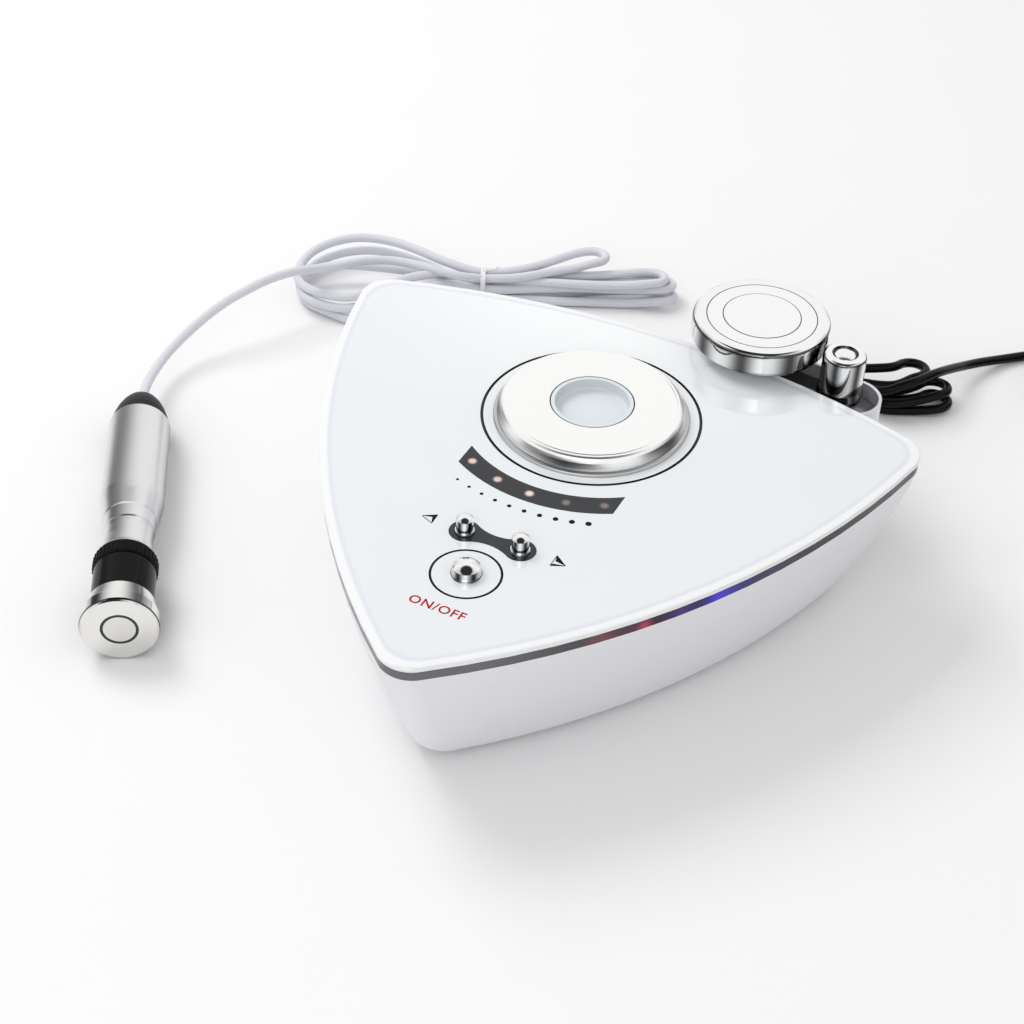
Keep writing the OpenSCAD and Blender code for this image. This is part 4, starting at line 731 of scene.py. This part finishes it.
def dress_housing(s):
    housing, cover = tuple(s.housing_colour), tuple(s.cover_colour)
    dress(plastic("Housing white", housing, 0.38, bump=0.04, vary=0.012, Coat_Weight=0.15,
                  Coat_Roughness=0.25), "base_shell")
    dress(cover_finish(cover), "top_cover")
    dress(band_finish(s.glow), "light_band")
    dress(tray_finish(housing), "probe_tray")
    dress(liner_finish(), "tray_liner")
    dress(dock_finish(), "dock_ring")
    dress(plastic("Dock cup", (0.68, 0.72, 0.75), 0.3, Coat_Weight=0.2), "dock_cup")
    dress(plastic("Nut grey", (0.4, 0.4, 0.41), 0.45), "dock_nut")
    dress(plastic("Foot rubber", (0.03, 0.03, 0.03), 0.7, bump=0.2), "feet")
    dress(turned_metal("Screw steel", (0.55, 0.55, 0.56), 0.3, (0, 0, 0)), "case_screws", "small_screws")


def dress_controls():
    dress(window_finish(), "level_window")
    dress(plastic("Lamp lens", (0.75, 0.55, 0.52), 0.12, bump=0.0, Coat_Weight=0.6), "level_lamps")
    dress(plastic("Key plate", (0.022, 0.027, 0.034), 0.16, bump=0.0, Coat_Weight=0.1, Coat_Roughness=0.05,
                  Specular_IOR_Level=0.3), "key_plate")
    for name, at, nodes in (("Power key chrome", POWER_KEY, ("power_collar", "power_button")),
                            ("Plus key chrome", PLUS_KEY, ("plus_button", "key_collars")),
                            ("Minus key chrome", MINUS_KEY, ("minus_button",))):
        dress(chrome(name, at, FRONT, 5.0, 0.02, 0.8), *nodes)


def dress_inside():
    dress(plastic("Inner black", (0.02, 0.02, 0.02), 0.5), "power_plunger", "minus_plunger", "plus_plunger",
          "key_switches", "buzzer")
    dress(plastic("Board green", (0.02, 0.14, 0.05), 0.35), "control_board", "main_board")
    dress(plastic("Ribbon grey", (0.5, 0.5, 0.5), 0.5), "ribbon_cable", "band_lamps")
    dress(plastic("Winding tape", (0.75, 0.6, 0.1), 0.4), "rf_transformer")
    dress(plastic("Capacitor sleeve", (0.02, 0.03, 0.1), 0.3), "capacitors")
    dress(turned_metal("Fin metal", (0.6, 0.61, 0.62), 0.4, (0, 0, 0), (1.0, 0.0, 0.0)), "heat_sink")
    dress(turned_metal("Socket metal", (0.7, 0.7, 0.7), 0.22, (-35, 0, 20), (0.0, 1.0, 0.0)), "dc_jack",
          "lead_socket")


def dress_probes():
    dress(chrome("Body probe chrome", BODY_PROBE, FRONT, 9.0, 0.07, 1.2), "body_probe_shell")
    dress(chrome("Eye probe chrome", EYE_PROBE, FRONT, 6.0, 0.06, 1.2), "eye_probe_shell")
    dress(turned_metal("Body probe face", (0.93, 0.93, 0.93), 0.22, BODY_PROBE, bump=0.05, vary=0.03),
          "body_probe_faces")
    dress(turned_metal("Eye probe face", (0.90, 0.90, 0.90), 0.2, EYE_PROBE, bump=0.05, vary=0.03),
          "eye_probe_tip")
    dress(turned_metal("Stem steel", (0.62, 0.62, 0.63), 0.25, EYE_PROBE), "body_probe_stem",
          "eye_probe_stem", "head_stem")
    dress(plastic("Insulator black", (0.02, 0.02, 0.02), 0.35), "body_probe_rings", "eye_probe_ring",
          "head_ring")


def dress_handpiece():
    dress(grip_finish(), "hand_grip")
    dress(plastic("Tail cap", (0.016, 0.016, 0.018), 0.38, Specular_IOR_Level=0.05), "hand_tail_cap")
    dress(plastic("Coupling black", (0.007, 0.007, 0.008), 0.45, Specular_IOR_Level=0.05), "hand_coupling")
    dress(plastic("Sleeve black", (0.005, 0.005, 0.006), 0.16, bump=0.0, Coat_Weight=0.06,
                  Coat_Roughness=0.04, Specular_IOR_Level=0.05), "hand_sleeve")
    dress(turned_metal("Contact brass", (0.8, 0.6, 0.25), 0.25, HAND_TAIL, HAND_AXIS), "hand_contacts")
    dress(chrome("Head chrome", HAND_TAIL, (0.0, 0.0, 1.0), 6.0, 0.10, 1.4, HAND_AXIS, (0.82, 0.81, 0.79)),
          "head_shell")
    dress(turned_metal("Head face", (0.76, 0.75, 0.73), 0.26, HAND_TAIL, HAND_AXIS, bump=0.06), "head_face")
    dress(plastic("Lead plug grey", (0.4, 0.41, 0.45), 0.42), "lead_plug")
    dress(plastic("Plug black", (0.018, 0.018, 0.018), 0.35), "dc_plug", "power_plug")


def apply_finishes(s):
    """Gives each built node its finish."""
    dress_housing(s)
    dress_controls()
    dress_inside()
    dress_probes()
    dress_handpiece()


# ---- Pieces ----

def cord_path(route, diameter, reach):
    """A cord's middle line in metres, with folds rounded off over the reach."""
    step = diameter * 0.5
    return even(ease(spline(np.array(route) * MM, step), step, reach), step)


def build_lead(s):
    """The handpiece's lead, which runs between the housing and the handpiece."""
    path = cord_path(LEAD_ROUTE, s.lead_diameter, s.easing)
    lead = tube("lead", path, s.lead_diameter / 2, s.sides)
    lead.data.materials.append(plastic("Lead jacket", tuple(s.lead_colour), 0.42, bump=0.08).mat)
    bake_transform(lead)
    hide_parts("lead_cord", "lead_hank")


def coil_point(angle, radius, height):
    """A point of the coil, by its clockwise angle in degrees from where the cord comes in."""
    a = math.radians(COIL_START - angle)
    return COIL_AT[0] + radius * math.cos(a), COIL_AT[1] + radius * math.sin(a), height


def coil_points():
    """Turns of the coil, each easing to the next in its last part, and the start of one more."""
    out = []
    for (r0, z0), (r1, z1) in zip(COIL_TURNS, COIL_TURNS[1:] + COIL_TURNS[-1:]):
        for angle in range(0, 360, COIL_STEP):
            w = max(0.0, (angle / 360 - 0.7) / 0.3)
            w = w * w * (3 - 2 * w)
            out.append(coil_point(angle, r0 + (r1 - r0) * w, z0 + (z1 - z0) * w))
    return out + [coil_point(angle, *COIL_TURNS[-1]) for angle in COIL_PAST]


def build_power(s):
    """The power cord: jack, folded hank, the run to the coil, the coil and the plug."""
    path = cord_path(POWER_ROUTE + coil_points()[1:] + TAIL_ROUTE, s.power_diameter,
                     s.easing * POWER_EASING)
    lowest = s.power_diameter / 2 + FLOOR_GAP * MM
    path[:, 2] = np.maximum(path[:, 2], lowest)
    cord = tube("power_lead", path, s.power_diameter / 2, s.sides)
    jacket = plastic("Power cord jacket", (0.004, 0.004, 0.005), 0.24, vary=0.05, Specular_IOR_Level=0.12)
    cord.data.materials.append(jacket.mat)
    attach(cord, "housing")
    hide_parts("power_cord", "power_hank", "power_coil")


def loop_band(at, across, half, top, width):
    """A flat band looped round strands, upright and across them, from the floor to the top."""
    along = (across[1], -across[0])
    sections, corners = 40, ((0.0, -0.5), (TIE_THICKNESS, -0.5), (TIE_THICKNESS, 0.5), (0.0, 0.5))
    verts, faces = [], []
    for k in range(sections):
        c, d = math.cos(2 * math.pi * k / sections), math.sin(2 * math.pi * k / sections)
        bulge = (abs(c) ** 3 + abs(d) ** 3) ** (-1 / 3)
        for grow, side in corners:
            off, up = c * bulge * (half + grow), top / 2 + d * bulge * (top / 2 - TIE_THICKNESS + grow)
            verts.append(metres((at[0] + across[0] * off + along[0] * side * width,
                                 at[1] + across[1] * off + along[1] * side * width, up)))
        b, e = 4 * k, 4 * ((k + 1) % sections)
        faces += [(b + j, e + j, e + (j + 1) % 4, b + (j + 1) % 4) for j in range(4)]
    return verts, faces


def twisted_end(points, radius):
    """A narrow strip twisted along points, closed at both ends."""
    verts, faces = [], []
    for k, (x, y, z) in enumerate(points):
        for q in range(4):
            t = TWIST_TURN * k + q * math.pi / 2
            wide = radius if q % 2 else radius / 2
            verts.append((x, y + radius * math.cos(t), z + wide * math.sin(t)))
    for first in range(0, len(verts) - 4, 4):
        faces += [tuple(first + j for j in (q, q + 4, (q + 1) % 4 + 4, (q + 1) % 4)) for q in range(4)]
    last = len(verts) - 4
    return verts, faces + [(0, 1, 2, 3), (last + 3, last + 2, last + 1, last)]


def build_ties(s):
    """The loops that hold the folds: a white one on the lead, with its twisted end, and a black one."""
    width, radius = s.tie_width / MM, TWIST_RADIUS * MM
    line = spline(np.array(TIE_TWIST) * MM, radius)
    verts, faces, slots = [], [], []
    for (points, sides), slot in ((loop_band(*LEAD_TIE, width), 0), (twisted_end(line, radius), 0),
                                  (loop_band(*POWER_TIE, width), 1)):
        faces += [tuple(len(verts) + k for k in face) for face in sides]
        verts += points
        slots += [slot] * len(sides)
    ties = new_mesh("bundle_ties", verts, faces, smooth=False)
    ties.data.materials.append(plastic("Tie film", (0.80, 0.80, 0.81), 0.35).mat)
    ties.data.materials.append(plastic("Tie black", (0.01, 0.01, 0.01), 0.4).mat)
    ties.data.polygons.foreach_set("material_index", slots)
    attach(ties, "housing")
    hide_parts("cord_ties")


def band_outline(points, width):
    """A closed line of this width along points, as one slab outline per stretch."""
    out = []
    for (x0, y0), (x1, y1) in zip(points, points[1:]):
        n = math.hypot(x1 - x0, y1 - y0)
        ox, oy = -(y1 - y0) / n * width / 2, (x1 - x0) / n * width / 2
        out.append([(x0 - ox, y0 - oy), (x1 - ox, y1 - oy), (x1 + ox, y1 + oy), (x0 + ox, y0 + oy)])
    return out


def direction_outlines():
    """The two triangles beside the keys: each one thin line with a heavy wedge on one flank."""
    left = [(-27.2, -79.8), (-22.7, -76.9), (-22.5, -81.8)]
    right = [(22.8, -76.4), (27.5, -79.9), (22.8, -82.1)]
    out = band_outline(left + left[:1], TRIANGLE_LINE) + band_outline(right + right[:1], TRIANGLE_LINE)
    out.append([left[0], (-23.7, -78.8), (-23.2, -80.4), left[2], left[1]])
    out.append([right[0], (23.4, -79.2), right[1]])
    out.append([right[2], right[1], (23.9, -80.6), (23.2, -80.8)])
    return out


def dot_outlines():
    """The row of dots in front of the window, each larger than the one before."""
    out = []
    for k in range(DOT_COUNT):
        a = math.radians(DOT_FIRST + DOT_STEP * k)
        out.append(disc(DOT_CENTRE[0] + DOT_RADIUS * math.sin(a), DOT_CENTRE[1] - DOT_RADIUS * math.cos(a),
                        DOT_SIZE + DOT_GROWTH * k))
    return out


def on_off_word(s, middle):
    """The word under the power key: plain capitals with the ink film's thickness."""
    curve = bpy.data.curves.new("on_off_text", "FONT")
    curve.body = "ON/OFF"
    curve.align_x, curve.align_y = "CENTER", "CENTER"
    curve.size = s.letter_height / CAPITAL_SHARE
    curve.space_character = 1.1
    curve.extrude = s.film / 2
    curve.resolution_u = 3
    curve.offset = LETTER_WEIGHT * MM
    temp = bpy.data.objects.new("on_off_text", curve)
    bpy.context.scene.collection.objects.link(temp)
    bpy.context.view_layer.update()
    mesh = bpy.data.meshes.new_from_object(temp.evaluated_get(bpy.context.evaluated_depsgraph_get()))
    bpy.data.objects.remove(temp)
    width = max(v.co.x for v in mesh.vertices) - min(v.co.x for v in mesh.vertices)
    mesh.transform(Matrix.Diagonal((s.word_width / width, 1.0, 1.0, 1.0)))
    mesh.transform(Matrix.Translation(Vector((*metres(WORD_AT), middle))))
    word = bpy.data.objects.new("on_off", mesh)
    bpy.context.scene.collection.objects.link(word)
    return word


def build_marks(s):
    """Ink on the cover: scale dots, direction marks, a ring and ON/OFF at the power key."""
    z0 = (COVER_TOP + INK_GAP) * MM
    z1 = z0 + s.film
    black = plastic("Ink black", (0.006, 0.006, 0.007), 0.4, bump=0.0, Specular_IOR_Level=0.1)
    red = plastic("Ink red", tuple(s.ink_red), 0.3, bump=0.0, Specular_IOR_Level=0.1)
    inner, outer = s.ring_radius - s.ring_width / 2, s.ring_radius + s.ring_width / 2
    for mark, ink in ((plate("scale_dots", dot_outlines(), z0, z1), black),
                      (plate("direction_marks", direction_outlines(), z0, z1), black),
                      (ring_plate("power_ring", metres(POWER_KEY), inner, outer, z0, z1), black),
                      (on_off_word(s, (z0 + z1) / 2), red)):
        mark.data.materials.clear()
        mark.data.materials.append(ink.mat)
        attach(mark, "housing")


# ---- Stage ----

def area_light(name, at, size, power):
    """A plain white area light that looks at the device."""
    data = bpy.data.lights.new(name, "AREA")
    data.shape = "RECTANGLE"
    data.size, data.size_y = size
    data.energy = power
    obj = bpy.data.objects.new(name, data)
    obj.location = at
    obj.rotation_euler = (Vector(LIGHT_AIM) - Vector(at)).to_track_quat("-Z", "Y").to_euler()
    bpy.context.scene.collection.objects.link(obj)
    return obj


def ramp(tree, stops, place):
    """The grey that a ramp of (position, grey) stops has at a place."""
    node = add(tree, "ValToRGB", {"Fac": place})
    elements = node.color_ramp.elements
    while len(elements) < len(stops):
        elements.new(0.5)
    for element, (position, grey) in zip(elements, stops):
        element.position = position
        element.color = (grey, grey, grey, 1.0)
    return node.outputs["Color"]


def build_surround(brightness):
    """A white surround: plain to the camera, a soft dome to matt surfaces, a room with flags to gloss."""
    world = bpy.data.worlds.new("Surround")
    world.use_nodes = True
    tree = world.node_tree
    tree.nodes.clear()
    direction = add(tree, "SeparateXYZ", {0: add(tree, "TexCoord").outputs["Generated"]}).outputs
    turn = math_node(tree, "ARCTAN2", direction["Y"], direction["X"])
    azimuth = math_node(tree, "ADD", math_node(tree, "DIVIDE", turn, 2 * math.pi), 0.5)
    low = math_node(tree, "MULTIPLY", ramp(tree, FLAG_AZIMUTHS, azimuth),
                    ramp(tree, FLAG_HEIGHTS, direction["Z"]))
    flags = math_node(tree, "MAXIMUM", low, ramp(tree, FLAG_OVERHEAD, direction["Z"]))
    soft = ramp(tree, DOME_HEIGHTS, direction["Z"])
    dome = add(tree, "Background", {"Color": soft, "Strength": brightness})
    room = add(tree, "Background", {"Color": mix(tree, flags, (1.0, 1.0, 1.0), (0.03, 0.03, 0.033))})
    plain = add(tree, "Background", {"Color": (1.0, 1.0, 1.0, 1.0)})
    ray = add(tree, "LightPath").outputs
    gloss = math_node(tree, "MAXIMUM", ray["Is Glossy Ray"], ray["Is Transmission Ray"])
    shown = dome
    for mask, other in ((gloss, room), (ray["Is Camera Ray"], plain)):
        shown = add(tree, "MixShader", {0: mask, 1: shown.outputs[0], 2: other.outputs[0]})
    add(tree, "OutputWorld", {"Surface": shown.outputs["Shader"]})
    bpy.context.scene.world = world


def build_floor():
    """A wide white floor that keeps the soft shadows."""
    corners = [(x * FLOOR_HALF, y * FLOOR_HALF, 0) for x, y in ((-1, -1), (1, -1), (1, 1), (-1, 1))]
    floor = new_mesh("floor", corners, [(0, 1, 2, 3)], smooth=False)
    f = plastic("Floor white", (0.87, 0.87, 0.872), 0.9, bump=0.0, scale=40.0, vary=0.004,
                Specular_IOR_Level=0.1)
    floor.data.materials.append(f.mat)


def build_camera(focal):
    """The camera, by its place and its right and up directions."""
    data = bpy.data.cameras.new("Camera")
    data.sensor_width = 36.0
    data.lens = focal
    data.clip_start, data.clip_end = 0.01, 50.0
    cam = bpy.data.objects.new("Camera", data)
    right, up = Vector(CAMERA_RIGHT), Vector(CAMERA_UP)
    pose = Matrix((right, up, right.cross(up))).transposed().to_4x4()
    pose.translation = Vector(CAMERA_AT)
    cam.matrix_world = pose
    bpy.context.scene.collection.objects.link(cam)
    bpy.context.scene.camera = cam


def build_stage(s):
    """The camera, two lights, the floor and the surround; the key light shows in no mirror image."""
    bpy.context.scene.view_settings.view_transform = "Standard"
    build_surround(s.sky)
    build_floor()
    build_camera(s.focal)
    key = area_light("Key light", KEY_AT, KEY_SIZE, s.key_power)
    key.visible_glossy = False
    area_light("Fill light", FILL_AT, FILL_SIZE, s.fill_power)


# ---- Operators and panel ----

class TONING_OT_build_stage(bpy.types.Operator):
    """Set up the camera, lights, floor and surround"""
    bl_idname = "toning.build_stage"
    bl_label = "Build stage"

    def execute(self, context):
        build_stage(context.scene.toning_stage)
        return {"FINISHED"}


class TONING_OT_build_lead(bpy.types.Operator):
    """Build the handpiece's grey lead"""
    bl_idname = "toning.build_lead"
    bl_label = "Build lead"

    def execute(self, context):
        build_lead(context.scene.toning_cords)
        return {"FINISHED"}


class TONING_OT_build_power(bpy.types.Operator):
    """Build the power cord, its hank and its coil"""
    bl_idname = "toning.build_power"
    bl_label = "Build power cord"

    def execute(self, context):
        build_power(context.scene.toning_cords)
        return {"FINISHED"}


class TONING_OT_build_ties(bpy.types.Operator):
    """Build the loops that hold the cords' folds"""
    bl_idname = "toning.build_ties"
    bl_label = "Build ties"

    def execute(self, context):
        build_ties(context.scene.toning_cords)
        return {"FINISHED"}


class TONING_OT_build_marks(bpy.types.Operator):
    """Print the ink marks on the cover"""
    bl_idname = "toning.build_marks"
    bl_label = "Print marks"

    def execute(self, context):
        build_marks(context.scene.toning_marks)
        return {"FINISHED"}


class TONING_OT_apply_finishes(bpy.types.Operator):
    """Give each built node its finish"""
    bl_idname = "toning.apply_finishes"
    bl_label = "Apply finishes"

    def execute(self, context):
        apply_finishes(context.scene.toning_finish)
        return {"FINISHED"}


SETTINGS = (("toning_cords", CordSettings), ("toning_marks", MarkSettings),
            ("toning_finish", FinishSettings), ("toning_stage", StageSettings))
OPERATORS = (TONING_OT_build_stage, TONING_OT_build_lead, TONING_OT_build_power, TONING_OT_build_ties,
             TONING_OT_build_marks, TONING_OT_apply_finishes)


class TONING_PT_panel(bpy.types.Panel):
    """The device's settings and builders"""
    bl_idname = "TONING_PT_panel"
    bl_label = "Toning Device"
    bl_space_type = "VIEW_3D"
    bl_region_type = "UI"
    bl_category = "Toning Device"

    def draw(self, context):
        for name, cls in SETTINGS:
            box = self.layout.box()
            for key in cls.__annotations__:
                box.prop(getattr(context.scene, name), key)
        for cls in OPERATORS:
            self.layout.operator(cls.bl_idname)


def register():
    for name, cls in SETTINGS:
        bpy.utils.register_class(cls)
        setattr(bpy.types.Scene, name, PointerProperty(type=cls))
    for cls in OPERATORS + (TONING_PT_panel,):
        bpy.utils.register_class(cls)


def unregister():
    for cls in reversed(OPERATORS + (TONING_PT_panel,)):
        bpy.utils.unregister_class(cls)
    for name, cls in reversed(SETTINGS):
        delattr(bpy.types.Scene, name)
        bpy.utils.unregister_class(cls)


def main():
    register()
    make_groups()
    bpy.ops.toning.build_stage()
    bpy.ops.toning.build_lead()
    bpy.ops.toning.build_power()
    bpy.ops.toning.build_ties()
    bpy.ops.toning.build_marks()
    bpy.ops.toning.apply_finishes()


if __name__ == "__main__":
    main()
